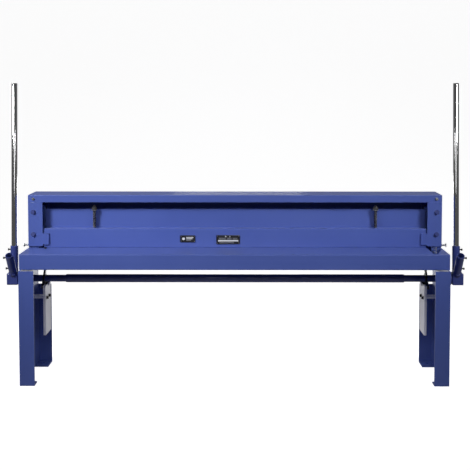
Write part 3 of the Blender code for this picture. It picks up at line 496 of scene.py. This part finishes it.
def makeShaft():
    s = shaftSettings
    half = tubeHigh[0]
    tube = turned("torsionTube", [(s["bore"], -half), (tubeRadius - s["chamfer"], -half),
                                  (tubeRadius, -half + s["chamfer"]), (tubeRadius, half - s["chamfer"]),
                                  (tubeRadius - s["chamfer"], half), (s["bore"], half)], s["around"], ring=True)
    lay(tube, (0, shaftY, shaftZ), (1, 0, 0))
    finishPiece(tube, shadedBlue, "lever_shaft", ["torsion_tube"])
    for side, sign in sides:
        low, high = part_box(f"shaft_end_{side}")
        length = high[0] - low[0]
        start = low[0] if sign > 0 else high[0]
        shaft = turned(f"shaftEnd_{side}", [
            (s["radius"] - 0.001, 0), (s["radius"], 0.001), (s["radius"], length - 0.0022),
            (s["radius"] - 0.0022, length), (0.0052, length), (0.0018, length - 0.0045),
            (0.0016, length - 0.009)], s["around"])
        lay(shaft, (start, shaftY, shaftZ), (sign, 0, 0))
        finishPiece(shaft, shadedBlue, "lever_shaft", [f"shaft_end_{side}"])
        bead = weldRing(f"tubeWeld_{side}", (sign * half, shaftY, shaftZ), (1, 0, 0),
                        s["radius"] + 0.0012, s["bead"])
        finishPiece(bead, shadedWeld, "lever_shaft")
        crankLow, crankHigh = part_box(f"crank_{side}")
        face = crankHigh[0] if sign > 0 else crankLow[0]
        bead = weldRing(f"crankWeld_{side}", (face, shaftY, shaftZ), (1, 0, 0), s["radius"] + 0.001, 0.0026)
        finishPiece(bead, blackOxide, "lever_shaft")


housingSettings = {"lip": 0.012, "neck": 0.0032, "chamfer": 0.0018, "around": 72}


def makeHousings():
    s = housingSettings
    for side, sign in sides:
        low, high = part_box(f"bearing_housing_{side}")
        length, outer = high[0] - low[0], (high[2] - low[2]) / 2
        start = low[0] if sign > 0 else high[0]
        neck, cut = outer - s["neck"], s["chamfer"]
        housing = turned(f"bearingHousing_{side}", [
            (0.0231, 0), (outer - 0.0006, 0), (outer, 0.0006), (outer, s["lip"] - cut), (outer - cut, s["lip"]),
            (neck + 0.0008, s["lip"]), (neck, s["lip"] + 0.0008), (neck, length - 0.0108),
            (neck + 0.0008, length - 0.010), (outer - cut, length - 0.010), (outer, length - 0.010 + cut),
            (outer, length - cut), (outer - cut, length), (0.0262, length), (0.0255, length - 0.0008),
            (0.0255, length - 0.003), (0.0231, length - 0.003)], s["around"], ring=True)
        lay(housing, (start, shaftY, shaftZ), (sign, 0, 0))
        finishPiece(housing, shadedBlue, "frame", [f"bearing_housing_{side}"])


makeShaft()
makeHousings()
print("shaft ready")


# Lever hubs with their sockets, set screws and bars

hubLow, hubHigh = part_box("lever_hub_right")
barLow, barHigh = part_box("lever_bar_right")
hubSettings = {"edge": 0.006, "socketRadius": 0.0255, "bore": 0.0200, "reach": 0.214, "boreBottom": 0.0700,
               "uprightLean": 3.0, "forwardLean": -35.0, "half": 0.0385, "around": 64}
socketX = (barLow[0] + barHigh[0]) / 2


def wayOf(lean):
    return Vector((0, math.sin(math.radians(lean)), math.cos(math.radians(lean))))


def makeHub():
    s = hubSettings
    centre = Vector((socketX, shaftY, shaftZ))
    width = hubHigh[0] - hubLow[0]
    deselectAll()
    bpy.ops.mesh.primitive_cube_add(size=1, location=((hubLow[0] + hubHigh[0]) / 2, shaftY, shaftZ))
    block = bpy.context.object
    block.name = "leverHubBlock_right"
    block.scale = (width, s["half"] * 2, s["half"] * 2)
    bpy.ops.object.transform_apply(location=True, rotation=True, scale=True)
    drill = turned("drill", [(0.0248, -0.001), (0.0248, 0.0006), (0.0229, 0.0022), (0.0229, width - 0.0022),
                             (0.0248, width - 0.0006), (0.0248, width + 0.001)], s["around"])
    lay(drill, (hubLow[0], shaftY, shaftZ), (1, 0, 0))
    applyStep(block, "BEVEL", width=s["edge"], segments=5, limit_method="ANGLE", angle_limit=math.radians(40))
    applyStep(block, "BOOLEAN", operation="DIFFERENCE", object=drill, solver="EXACT")
    bpy.data.objects.remove(drill)
    cleanUp(block)
    smooth(block, 34)
    applyStep(block, "WEIGHTED_NORMAL", keep_sharp=True, weight=80)
    parts = [block]
    for label, lean in (("upright", s["uprightLean"]), ("forward", s["forwardLean"])):
        outer, bore, reach, bottom = s["socketRadius"], s["bore"], s["reach"], s["boreBottom"]
        start = 0.030
        socket = turned(f"socket_{label}_right", [
            (outer - 0.002, start), (outer, start + 0.001), (outer, reach - 0.0016), (outer - 0.0016, reach),
            (bore + 0.0016, reach), (bore, reach - 0.0016), (bore, bottom + 0.0008), (bore - 0.0008, bottom)],
            s["around"])
        lay(socket, centre, wayOf(lean))
        parts.append(socket)
    beads = [weldRing("socketWeld_upright_right", centre + wayOf(s["uprightLean"]) * (s["half"] + 0.0012),
                      wayOf(s["uprightLean"]), s["socketRadius"] + 0.0006, 0.0036),
             weldRing("socketWeld_forward_right", centre + wayOf(s["forwardLean"]) * 0.0560,
                      wayOf(s["forwardLean"]), s["socketRadius"] + 0.0004, 0.0034)]
    return parts, beads


def placeHubs():
    parts, beads = makeHub()
    for piece in parts:
        finishPair(piece, shadedBlue, "lever_shaft", "lever_hub", 34)
    for bead in beads:
        finishPair(bead, shadedWeld, "lever_shaft", angle=34)


screwSettings = {"head": 0.0074, "headHeight": 0.0075, "shank": 0.0045, "key": 0.0030,
                 "pitch": 0.0012, "inside": 0.0185, "upper": 0.190, "lower": 0.092}


def makeSetScrews():
    s = screwSettings
    end = hubHigh[0]
    start = socketX + s["inside"]
    length = end - start
    shoulder = length - s["headHeight"]
    profile = [(s["shank"] - 0.0008, 0), (s["shank"], 0.0008)]
    pitch = s["pitch"]
    for index in range(int((shoulder - 0.002) / pitch)):
        low = 0.0009 + index * pitch
        profile += [(s["shank"], low + pitch * 0.2), (s["shank"] - 0.0006, low + pitch * 0.6)]
    profile += [(s["shank"], shoulder), (s["head"] - 0.0004, shoulder), (s["head"], shoulder + 0.0004),
                (s["head"], length - 0.0008), (s["head"] - 0.0008, length)]
    model = turned("setScrew", profile, 32)
    bpy.ops.mesh.primitive_cylinder_add(vertices=6, radius=s["key"] * 1.155, depth=0.009, location=(0, 0, length))
    key = bpy.context.object
    applyStep(model, "BOOLEAN", operation="DIFFERENCE", object=key, solver="EXACT")
    bpy.data.objects.remove(key)
    cleanUp(model)
    smooth(model, 30)
    lay(model, (start, shaftY, shaftZ), (1, 0, 0))
    places = ((hubSettings["uprightLean"], s["upper"]), (hubSettings["forwardLean"], s["upper"]),
              (hubSettings["forwardLean"], s["lower"]))
    for index, (lean, reach) in enumerate(places):
        shift = wayOf(lean) * reach
        right = copyOf(model, f"setScrew_{index}_right", shift)
        left = copyOf(right, f"setScrew_{index}_left", flip=True)
        for screw in (right, left):
            smooth(screw, 30)
            finishPiece(screw, blackOxide, "lever_shaft")
    bpy.data.objects.remove(model)


barSettings = {"radius": 0.019, "length": 1.216, "start": 0.0710, "chamfer": 0.0022, "around": 72}


def makeBars():
    s = barSettings
    way = wayOf(hubSettings["uprightLean"])
    length = s["length"]
    bar = turned("leverBar_right", [
        (s["radius"] - 0.0015, 0), (s["radius"], 0.0015), (s["radius"], length - s["chamfer"]),
        (s["radius"] - 0.0008, length - 0.0009), (s["radius"] - s["chamfer"], length - 0.0002),
        (s["radius"] * 0.5, length)], s["around"])
    lay(bar, Vector((socketX, shaftY, shaftZ)) + way * s["start"], way)
    finishPair(bar, chromePlate, "lever_bar_right", "lever_bar", leftBody="lever_bar_left")


placeHubs()
makeSetScrews()
makeBars()
print("levers ready")


# Threaded rods on the clamp's ledge, with nut and washer

rodSettings = {"pitch": 0.0025, "radius": 0.011, "length": 0.1480, "around": 24}


def makeRods():
    low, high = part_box("threaded_rod_right")
    nutLow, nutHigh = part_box("rod_nut_right")
    x, y = (low[0] + high[0]) / 2, (low[1] + high[1]) / 2
    rod = threaded("threadedRod_right", rodSettings)
    tip = turned("rodTip", [(0.0096, 0), (0.0096, 0.0006), (0.0082, 0.0020)], 32)
    lay(tip, (0, 0, rodSettings["length"]))
    rod = joinAll([rod, tip], "threadedRod_right")
    lay(rod, (x, y, low[2]))
    nut = hexagon("rodNut_right", {"corner": (nutHigh[0] - nutLow[0]) / 2, "height": nutHigh[2] - nutLow[2],
                                   "bore": 0.0113})
    lay(nut, (x, y, nutLow[2]))
    washer = turned("rodWasher_right", [(0.0118, 0), (0.0200, 0), (0.0205, 0.0005), (0.0205, 0.0025),
                                        (0.0200, 0.0030), (0.0118, 0.0030)], 48, ring=True)
    lay(washer, (x, y, nutLow[2] - 0.0031))
    foot = weldRing("rodWeld_right", (x, y, low[2] + 0.0005), (0, 0, 1), 0.0122, 0.0024)
    finishPair(rod, rodSteel, "clamp_beam", "threaded_rod", 26)
    finishPair(nut, rodSteel, "clamp_beam", "rod_nut", 26)
    finishPair(washer, zincPlate, "clamp_beam", angle=26)
    finishPair(foot, weldSteel, "clamp_beam", angle=26)


makeRods()
print("rods ready")


# Bolts of the end plates and the cover

boltSettings = {"head": 0.0135, "headHeight": 0.0088, "washer": 0.0155, "washerHeight": 0.0026, "shank": 0.0079}


def makeEndBolts():
    s = boltSettings
    low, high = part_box("end_plate_bolt_lower_right")
    plateLow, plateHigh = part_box("end_plate_right")
    face = plateLow[1]
    x = (low[0] + high[0]) / 2
    head = hexagon("boltHead", {"corner": s["head"], "height": s["headHeight"], "flatFoot": True})
    lay(head, (0, 0, s["washerHeight"]), spin=14)
    washer = turned("boltWasher", [(s["washer"] - 0.0004, 0), (s["washer"], 0.0004),
                                   (s["washer"], s["washerHeight"] - 0.0005),
                                   (s["washer"] - 0.0006, s["washerHeight"])], 48)
    bolt = joinAll([head, washer], "endBolt")
    smooth(bolt, 28)
    lay(bolt, (0, 0, 0), (0, -1, 0))
    shank = threaded("boltShank", {"pitch": 0.002, "radius": s["shank"], "length": high[1] - face + 0.001,
                                   "around": 16})
    lay(shank, (0, -0.0005, 0), (0, 1, 0))
    bolt = joinAll([bolt, shank], "endBolt")
    for side, sign in sides:
        for place in ("lower", "upper"):
            nodeLow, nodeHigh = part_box(f"end_plate_bolt_{place}_{side}")
            z = (nodeLow[2] + nodeHigh[2]) / 2
            copy = copyOf(bolt, f"endBolt_{place}_{side}", (sign * x, face - 0.0001, z))
            finishPiece(copy, boltPaint, "frame", [f"end_plate_bolt_{place}_{side}"])
    bpy.data.objects.remove(bolt)


coverBoltSettings = {"head": 0.0078, "headHeight": 0.0052, "washer": 0.0095,
                     "rearCount": 7, "rearFirst": -1.20, "rearStep": 0.40, "rearDrop": 0.020}


def makeCoverBolts():
    s = coverBoltSettings
    head = hexagon("coverBoltHead", {"corner": s["head"], "height": s["headHeight"], "flatFoot": True})
    lay(head, (0, 0, 0.0014), spin=8)
    washer = turned("coverWasher", [(s["washer"] - 0.0002, 0), (s["washer"], 0.0002), (s["washer"], 0.0012),
                                    (s["washer"] - 0.0003, 0.0014)], 40)
    bolt = joinAll([head, washer], "coverBolt")
    smooth(bolt, 28)
    lay(bolt, (0, 0, 0), (0, -1, 0))
    for side, sign in sides:
        low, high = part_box(f"cover_bolt_{side}")
        place = ((low[0] + high[0]) / 2, high[1], (low[2] + high[2]) / 2)
        finishPiece(copyOf(bolt, f"coverBolt_{side}", place), zincPlate, "frame",
                    [f"cover_bolt_{side}"])
    panelLow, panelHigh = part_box("rear_panel")
    for index in range(s["rearCount"]):
        place = (s["rearFirst"] + s["rearStep"] * index, panelHigh[1] + 0.0001, panelHigh[2] - s["rearDrop"])
        screw = copyOf(bolt, f"rearScrew_{index}")
        screw.scale = (1, -1, 1)
        screw.location = place
        pick(screw)
        bpy.ops.object.transform_apply(location=True, rotation=True, scale=True)
        cleanUp(screw)
        smooth(screw, 28)
        finishPiece(screw, zincPlate, "frame")
    bpy.data.objects.remove(bolt)


makeEndBolts()
makeCoverBolts()
print("bolts ready")


# Side screws, shelf spring and the small stop nut

sideScrewSettings = {"shank": 0.0060, "pitch": 0.00175, "head": 0.0110, "headLength": 0.0062, "flutes": 22}


def makeSideScrews():
    s = sideScrewSettings
    low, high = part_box("side_screw_right")
    length = high[0] - low[0]
    headLength = s["headLength"]
    shank = threaded("sideShank", {"pitch": s["pitch"], "radius": s["shank"],
                                   "length": length - headLength + 0.001, "around": 20})
    head = turned("sideHead", [
        (0.0070, 0), (s["head"] - 0.0006, 0), (s["head"], 0.0006), (s["head"], headLength - 0.0012),
        (s["head"] - 0.0012, headLength), (0.0050, headLength), (0.0046, headLength - 0.0006)], s["flutes"] * 2)
    pick(head)
    bpy.ops.object.mode_set(mode="EDIT")
    bpy.ops.mesh.select_all(action="DESELECT")
    bpy.ops.object.mode_set(mode="OBJECT")
    for vertex in head.data.vertices:
        turn = math.degrees(math.atan2(vertex.co.y, vertex.co.x)) % 360
        step = round(turn / (360 / (s["flutes"] * 2)))
        vertex.select = step % 2 == 0 and vertex.co.xy.length > s["head"] - 0.001
    bpy.ops.object.mode_set(mode="EDIT")
    bpy.ops.transform.resize(value=(0.94, 0.94, 1), center_override=(0, 0, 0))
    bpy.ops.object.mode_set(mode="OBJECT")
    smooth(head, 20)
    lay(head, (0, 0, length - headLength))
    nut = hexagon("sideNut", {"corner": 0.0105, "height": 0.006, "bore": 0.0057})
    frameLow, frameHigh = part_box("end_frame_right")
    lay(nut, (0, 0, frameHigh[0] - low[0] + 0.0008), spin=10)
    screw = joinAll([shank, head, nut], "sideScrew_right")
    lay(screw, (low[0], (low[1] + high[1]) / 2, (low[2] + high[2]) / 2), (1, 0, 0))
    finishPair(screw, zincPlate, "side_screw_right", "side_screw", 24, "side_screw_left")


springSettings = {"wire": 0.0018, "coil": 0.0125, "turns": 9, "steps": 28}


def makeSpring():
    s = springSettings
    low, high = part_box("shelf_spring")
    deselectAll()
    bpy.ops.mesh.primitive_circle_add(vertices=10, radius=s["wire"], fill_type="NOTHING",
                                      location=(s["coil"], 0, 0), rotation=(math.pi / 2, 0, 0))
    spring = bpy.context.object
    spring.name = "shelfSpring"
    bpy.ops.object.transform_apply(location=True, rotation=True, scale=True)
    height = high[2] - low[2] - s["wire"] * 2
    applyStep(spring, "SCREW", angle=math.tau, screw_offset=height / s["turns"], iterations=s["turns"],
              steps=s["steps"], render_steps=s["steps"], use_smooth_shade=True)
    pick(spring)
    bpy.ops.object.mode_set(mode="EDIT")
    bpy.ops.mesh.select_all(action="SELECT")
    bpy.ops.mesh.remove_doubles(threshold=0.000002)
    bpy.ops.mesh.fill_holes(sides=12)
    bpy.ops.mesh.select_all(action="SELECT")
    bpy.ops.mesh.normals_make_consistent(inside=False)
    bpy.ops.object.mode_set(mode="OBJECT")
    smooth(spring, 60)
    lay(spring, ((low[0] + high[0]) / 2, (low[1] + high[1]) / 2, low[2] + s["wire"]))
    finishPiece(spring, zincPlate, "frame", ["shelf_spring"])


def makeStopNut():
    lugLow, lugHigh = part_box("end_plate_left")
    shelfLow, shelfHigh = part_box("bed_shelf")
    nut = hexagon("stopNut", {"corner": 0.0095, "height": 0.007, "bore": 0.0045})
    lay(nut, (lugHigh[0] - 0.020, lugLow[1] - 0.018, shelfHigh[2] + 0.0001), spin=20)
    finishPiece(nut, blackOxide, "frame")


makeSideScrews()
makeSpring()
makeStopNut()
print("small parts ready")


# Pins of the drive and the hinges

pinSettings = {"crank_pin": (0.0080, "lever_shaft"), "leaf_pin": (0.0080, "bending_leaf"),
               "hinge_pin": (0.0120, "frame")}


def makePins():
    for kind, (radius, body) in pinSettings.items():
        low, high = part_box(kind + "_right")
        length = high[0] - low[0]
        pin = turned(kind + "Turned_right", [
            (radius - 0.0010, 0), (radius, 0.0010), (radius, length - 0.0042), (radius - 0.0012, length - 0.0042),
            (radius - 0.0012, length - 0.0030), (radius, length - 0.0030), (radius, length - 0.0010),
            (radius - 0.0010, length), (0.0025, length), (0.0010, length - 0.002)], 48)
        lay(pin, (low[0], (low[1] + high[1]) / 2, (low[2] + high[2]) / 2), (1, 0, 0))
        finishPair(pin, groundSteel, body, kind)


makePins()


# Bolt heads on the light side covers, over the studs that hold them

coverHeadSettings = {"head": 0.0098, "height": 0.0125, "places": ((-0.0595, -0.115), (0.0055, -0.115))}


def makeSideCoverBolts():
    s = coverHeadSettings
    low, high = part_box("side_cover_right")
    head = hexagon("coverHead", {"corner": s["head"], "height": s["height"], "flatFoot": True})
    washer = turned("coverHeadWasher", [(0.0112, 0), (0.0115, 0.0003), (0.0115, 0.0016), (0.0112, 0.0019)], 40)
    bolt = joinAll([head, washer], "coverHeadBolt")
    smooth(bolt, 28)
    lay(bolt, (0, 0, 0), (-1, 0, 0))
    for index, (back, drop) in enumerate(s["places"]):
        place = (low[0] + s["height"] - 0.0006, shaftY + back, shaftZ + drop)
        right = copyOf(bolt, f"sideCoverBolt_{index}_right", place)
        left = copyOf(right, f"sideCoverBolt_{index}_left", flip=True)
        for piece in (right, left):
            smooth(piece, 28)
            finishPiece(piece, blackOxide, "frame")
    bpy.data.objects.remove(bolt)


makeSideCoverBolts()
print("pins and cover bolts ready")


# Name plate and data plate, with generic marks only

plateSettings = {"corner": 0.004, "margin": 0.006}


def makePlate(nodeName, pieceName):
    low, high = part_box(nodeName)
    deselectAll()
    centre = [(a + b) / 2 for a, b in zip(low, high)]
    bpy.ops.mesh.primitive_cube_add(size=1, location=centre)
    plate = bpy.context.object
    plate.name = pieceName
    plate.scale = [b - a for a, b in zip(low, high)]
    bpy.ops.object.transform_apply(location=True, rotation=True, scale=True)
    pick(plate)
    bpy.ops.object.mode_set(mode="EDIT")
    bpy.ops.mesh.select_all(action="DESELECT")
    bpy.ops.object.mode_set(mode="OBJECT")
    for edge in plate.data.edges:
        a, b = (plate.data.vertices[i].co for i in edge.vertices)
        edge.select = abs(a.y - b.y) > 0.0005
    bpy.ops.object.mode_set(mode="EDIT")
    bpy.ops.mesh.bevel(offset=plateSettings["corner"], segments=5)
    bpy.ops.mesh.select_all(action="DESELECT")
    bpy.ops.object.mode_set(mode="OBJECT")
    for face in plate.data.polygons:
        face.select = face.normal.y < -0.9
    bpy.ops.object.mode_set(mode="EDIT")
    bpy.ops.mesh.inset(thickness=0.0022, depth=0)
    bpy.ops.mesh.inset(thickness=0.0004, depth=0.0003)
    bpy.ops.object.mode_set(mode="OBJECT")
    smooth(plate, 30)
    finishPiece(plate, blackPlate, "clamp_beam", [nodeName])
    rivet = turned("rivet", [(0.0022, 0), (0.0022, 0.0003), (0.0017, 0.0009), (0.0008, 0.0012)], 16, angle=60)
    lay(rivet, (0, 0, 0), (0, -1, 0))
    margin = plateSettings["margin"]
    left, right, foot, top = low[0] + margin, high[0] - margin, low[2] + margin, high[2] - margin
    for index, (x, z) in enumerate(((left, foot), (right, foot), (left, top), (right, top))):
        finishPiece(copyOf(rivet, f"{pieceName}Rivet_{index}", (x, low[1] + 0.0001, z)), zincPlate,
                    "clamp_beam")
    bpy.data.objects.remove(rivet)
    return low, high


# One raised mark: a thin bar with its front edges rounded.
def makeMark(name, x, z, width, height, front, material, corners=0):
    deselectAll()
    if corners:
        bpy.ops.mesh.primitive_cylinder_add(vertices=corners, radius=width / 2, depth=0.0006,
                                            location=(x, front, z), rotation=(math.pi / 2, 0, 0))
    else:
        bpy.ops.mesh.primitive_cube_add(size=1, location=(x, front, z))
        bpy.context.object.scale = (width, 0.0006, height)
    mark = bpy.context.object
    mark.name = name
    bpy.ops.object.transform_apply(location=True, rotation=True, scale=True)
    applyStep(mark, "BEVEL", width=0.00015, segments=1, limit_method="ANGLE")
    return finishPiece(mark, material, "clamp_beam")


def makeLabels():
    low, high = makePlate("name_plate", "namePlate")
    front = low[1] + 0.0002
    middle = (low[2] + high[2]) / 2
    makeMark("nameSign", low[0] + 0.022, middle, 0.020, 0, front, whitePrint, corners=6)
    for index, (width, rise) in enumerate(((0.046, 0.009), (0.040, 0.0), (0.030, -0.009))):
        makeMark(f"nameBar_{index}", low[0] + 0.040 + width / 2, middle + rise, width, 0.0042, front,
                 whitePrint if index < 2 else greyPrint)
    low, high = makePlate("data_plate", "dataPlate")
    front = low[1] + 0.0002
    width = high[0] - low[0]
    for index, offset in enumerate((-0.016, 0.012)):
        makeMark(f"dataSign_{index}", (low[0] + high[0]) / 2 + offset, high[2] - 0.0085, 0.012, 0, front,
                 whitePrint, corners=3)
    for row in range(2):
        for column, (start, share) in enumerate(((0.10, 0.30), (0.46, 0.18), (0.70, 0.20))):
            makeMark(f"dataLine_{row}_{column}", low[0] + width * (start + share / 2), high[2] - 0.019 - row * 0.006,
                     width * share, 0.0022, front, greyPrint)
    makeMark("dataBar", (low[0] + high[0]) / 2, low[2] + 0.0215, width * 0.86, 0.0085, front, whitePrint)
    for row in range(2):
        makeMark(f"dataFoot_{row}", (low[0] + high[0]) / 2 - 0.01, low[2] + 0.0120 - row * 0.005, width * 0.62,
                 0.0020, front, greyPrint)


makeLabels()
print("plates with generic marks ready")


# Weld beads inside the legs, along their foot plates

weldSettings = {"radius": 0.0036, "sheet": 0.008, "frontFoot": 0.070, "rearFoot": 0.120, "footTop": 0.010,
                "flange": 0.0935, "endGap": 0.004}


def makeLegWelds():
    s = weldSettings
    for side, sign in sides:
        low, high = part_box(f"leg_{side}")
        outer = high[0] if sign > 0 else low[0]
        wall = outer - sign * s["sheet"]
        inner = outer - sign * s["flange"]
        front, rear = low[1] + s["sheet"], high[1] - s["sheet"]
        height = s["footTop"] + 0.001
        lines = []
        for number, (near, far, corner) in enumerate((
                (front, low[1] + s["frontFoot"] - s["endGap"], front),
                (high[1] - s["rearFoot"] + s["endGap"], rear, rear))):
            lines.append(weldLine(f"footWeldSide_{number}_{side}", (wall, near, height), (wall, far, height),
                                  s["radius"]))
            lines.append(weldLine(f"footWeldFlange_{number}_{side}", (wall, corner, height),
                                  (inner, corner, height), s["radius"]))
        for bead in lines:
            finishPiece(bead, weldSteel, "frame")


makeLegWelds()
print("welds ready")

# CAD nodes that stay in view take their finish here
for nodeName, node in cadNodes.items():
    for slotIndex, holder in enumerate(node.material_slots):
        ending = holder.material.name if holder.material else ""
        for key, material in finishOf.items():
            if key.replace("dark_paint", "blue_paint_dark") in ending or key in ending:
                holder.material = material
                break


# Floor, backdrop, lights and camera

stageSettings = {"half": 9.0, "front": -3.4, "backWall": 7.0, "wallHeight": 9.0, "turn": 2.2,
                 "pale": (0.92, 0.92, 0.925, 1), "bounce": (0.26, 0.26, 0.28, 1), "seen": 0.90, "mirrored": 0.24}


def makeStage():
    s = stageSettings
    deselectAll()
    bpy.ops.mesh.primitive_plane_add(size=2, location=(0, (s["front"] + s["backWall"]) / 2, 0))
    floor = bpy.context.object
    floor.name = "studioFloor"
    floor.scale = (s["half"], (s["backWall"] - s["front"]) / 2, 1)
    bpy.ops.object.transform_apply(location=True, rotation=True, scale=True)
    bpy.ops.object.mode_set(mode="EDIT")
    bpy.ops.mesh.select_mode(type="EDGE")
    bpy.ops.object.mode_set(mode="OBJECT")
    for face in floor.data.polygons:
        face.select = False
    for vertex in floor.data.vertices:
        vertex.select = vertex.co.y > s["backWall"] - 0.1
    for edge in floor.data.edges:
        edge.select = all(floor.data.vertices[i].co.y > s["backWall"] - 0.1 for i in edge.vertices)
    bpy.ops.object.mode_set(mode="EDIT")
    bpy.ops.mesh.extrude_region_move(TRANSFORM_OT_translate={"value": (0, 0, s["wallHeight"])})
    bpy.ops.mesh.select_mode(type="VERT")
    bpy.ops.object.mode_set(mode="OBJECT")
    applyStep(floor, "BEVEL", width=s["turn"], segments=16, limit_method="ANGLE", angle_limit=math.radians(60))
    smooth(floor, 60)
    material = bpy.data.materials.new("paleFloor")
    material.use_nodes = True
    tree = material.node_tree
    shader = tree.nodes["Principled BSDF"]
    shader.inputs["Roughness"].default_value = 0.9
    shader.inputs["Specular IOR Level"].default_value = 0.1
    shader.inputs["Emission Color"].default_value = (1, 1, 1, 1)
    rays = addNode(tree, "ShaderNodeLightPath")
    colour = addNode(tree, "ShaderNodeMix", {"Factor": rays.outputs["Is Camera Ray"]}, data_type="RGBA")
    colour.inputs[6].default_value = s["bounce"]
    colour.inputs[7].default_value = s["pale"]
    tree.links.new(colour.outputs[2], shader.inputs["Base Color"])
    mirrored = addNode(tree, "ShaderNodeMath", {0: rays.outputs["Is Glossy Ray"]}, operation="MULTIPLY",
                       in_1=s["mirrored"])
    seen = addNode(tree, "ShaderNodeMath", {0: rays.outputs["Is Camera Ray"], 2: mirrored.outputs[0]},
                   operation="MULTIPLY_ADD", in_1=s["seen"])
    tree.links.new(seen.outputs[0], shader.inputs["Emission Strength"])
    floor.data.materials.append(material)


lightSettings = {
    "frontLeft": {"place": (-2.9, -2.3, 3.2), "aim": (-0.95, 0.0, 1.08), "size": 0.9, "power": 13.5, "spread": 48},
    "frontRight": {"place": (2.9, -2.3, 3.2), "aim": (0.95, 0.0, 1.08), "size": 0.9, "power": 8.6, "spread": 48},
    "frontMiddle": {"place": (0.0, -4.4, 3.0), "aim": (0.0, 0.0, 1.05), "size": 1.6, "power": 3.4, "spread": 44},
    "overhead": {"place": (0.0, 0.9, 4.2), "aim": (0.0, 0.1, 0.9), "size": 3.4, "power": 5.0, "spread": 110},
    "rearLow": {"place": (0.0, 2.6, 0.7), "aim": (0.0, 0.0, 0.45), "size": 1.2, "power": 16, "spread": 120},
}


skySettings = {"light": 0.09, "seen": 1.0}


def makeLights():
    for name, s in lightSettings.items():
        data = bpy.data.lights.new(name, "AREA")
        data.size = s["size"]
        data.energy = s["power"]
        data.spread = math.radians(s["spread"])
        light = bpy.data.objects.new(name, data)
        light.location = s["place"]
        light.rotation_mode = "QUATERNION"
        light.rotation_quaternion = (Vector(s["aim"]) - Vector(s["place"])).to_track_quat("-Z", "Y")
        bpy.context.scene.collection.objects.link(light)
    world = bpy.context.scene.world or bpy.data.worlds.new("studio")
    bpy.context.scene.world = world
    world.use_nodes = True
    sky = world.node_tree.nodes["Background"]
    sky.inputs[0].default_value = (1.0, 1.0, 1.0, 1)
    rays = world.node_tree.nodes.new("ShaderNodeLightPath")
    level = addNode(world.node_tree, "ShaderNodeMapRange", {"Value": rays.outputs["Is Camera Ray"]},
                    in_3=skySettings["light"], in_4=skySettings["seen"])
    world.node_tree.links.new(level.outputs[0], sky.inputs[1])


cameraSettings = {"place": (0.078, -5.753, 1.826), "down": 3.06, "turn": -0.23, "lens": 68.2,
                  "shift": (-0.0176, -0.20)}


def makeCamera():
    s = cameraSettings
    data = bpy.data.cameras.new("studioCamera")
    data.lens = s["lens"]
    data.sensor_width = 36.0
    data.shift_x, data.shift_y = s["shift"]
    camera = bpy.data.objects.new("studioCamera", data)
    camera.location = s["place"]
    camera.rotation_euler = (math.radians(90 - s["down"]), 0, math.radians(-s["turn"]))
    bpy.context.scene.collection.objects.link(camera)
    bpy.context.scene.camera = camera


makeStage()
makeLights()
makeCamera()
bpy.context.scene.view_settings.view_transform = "Standard"
print("stage ready")
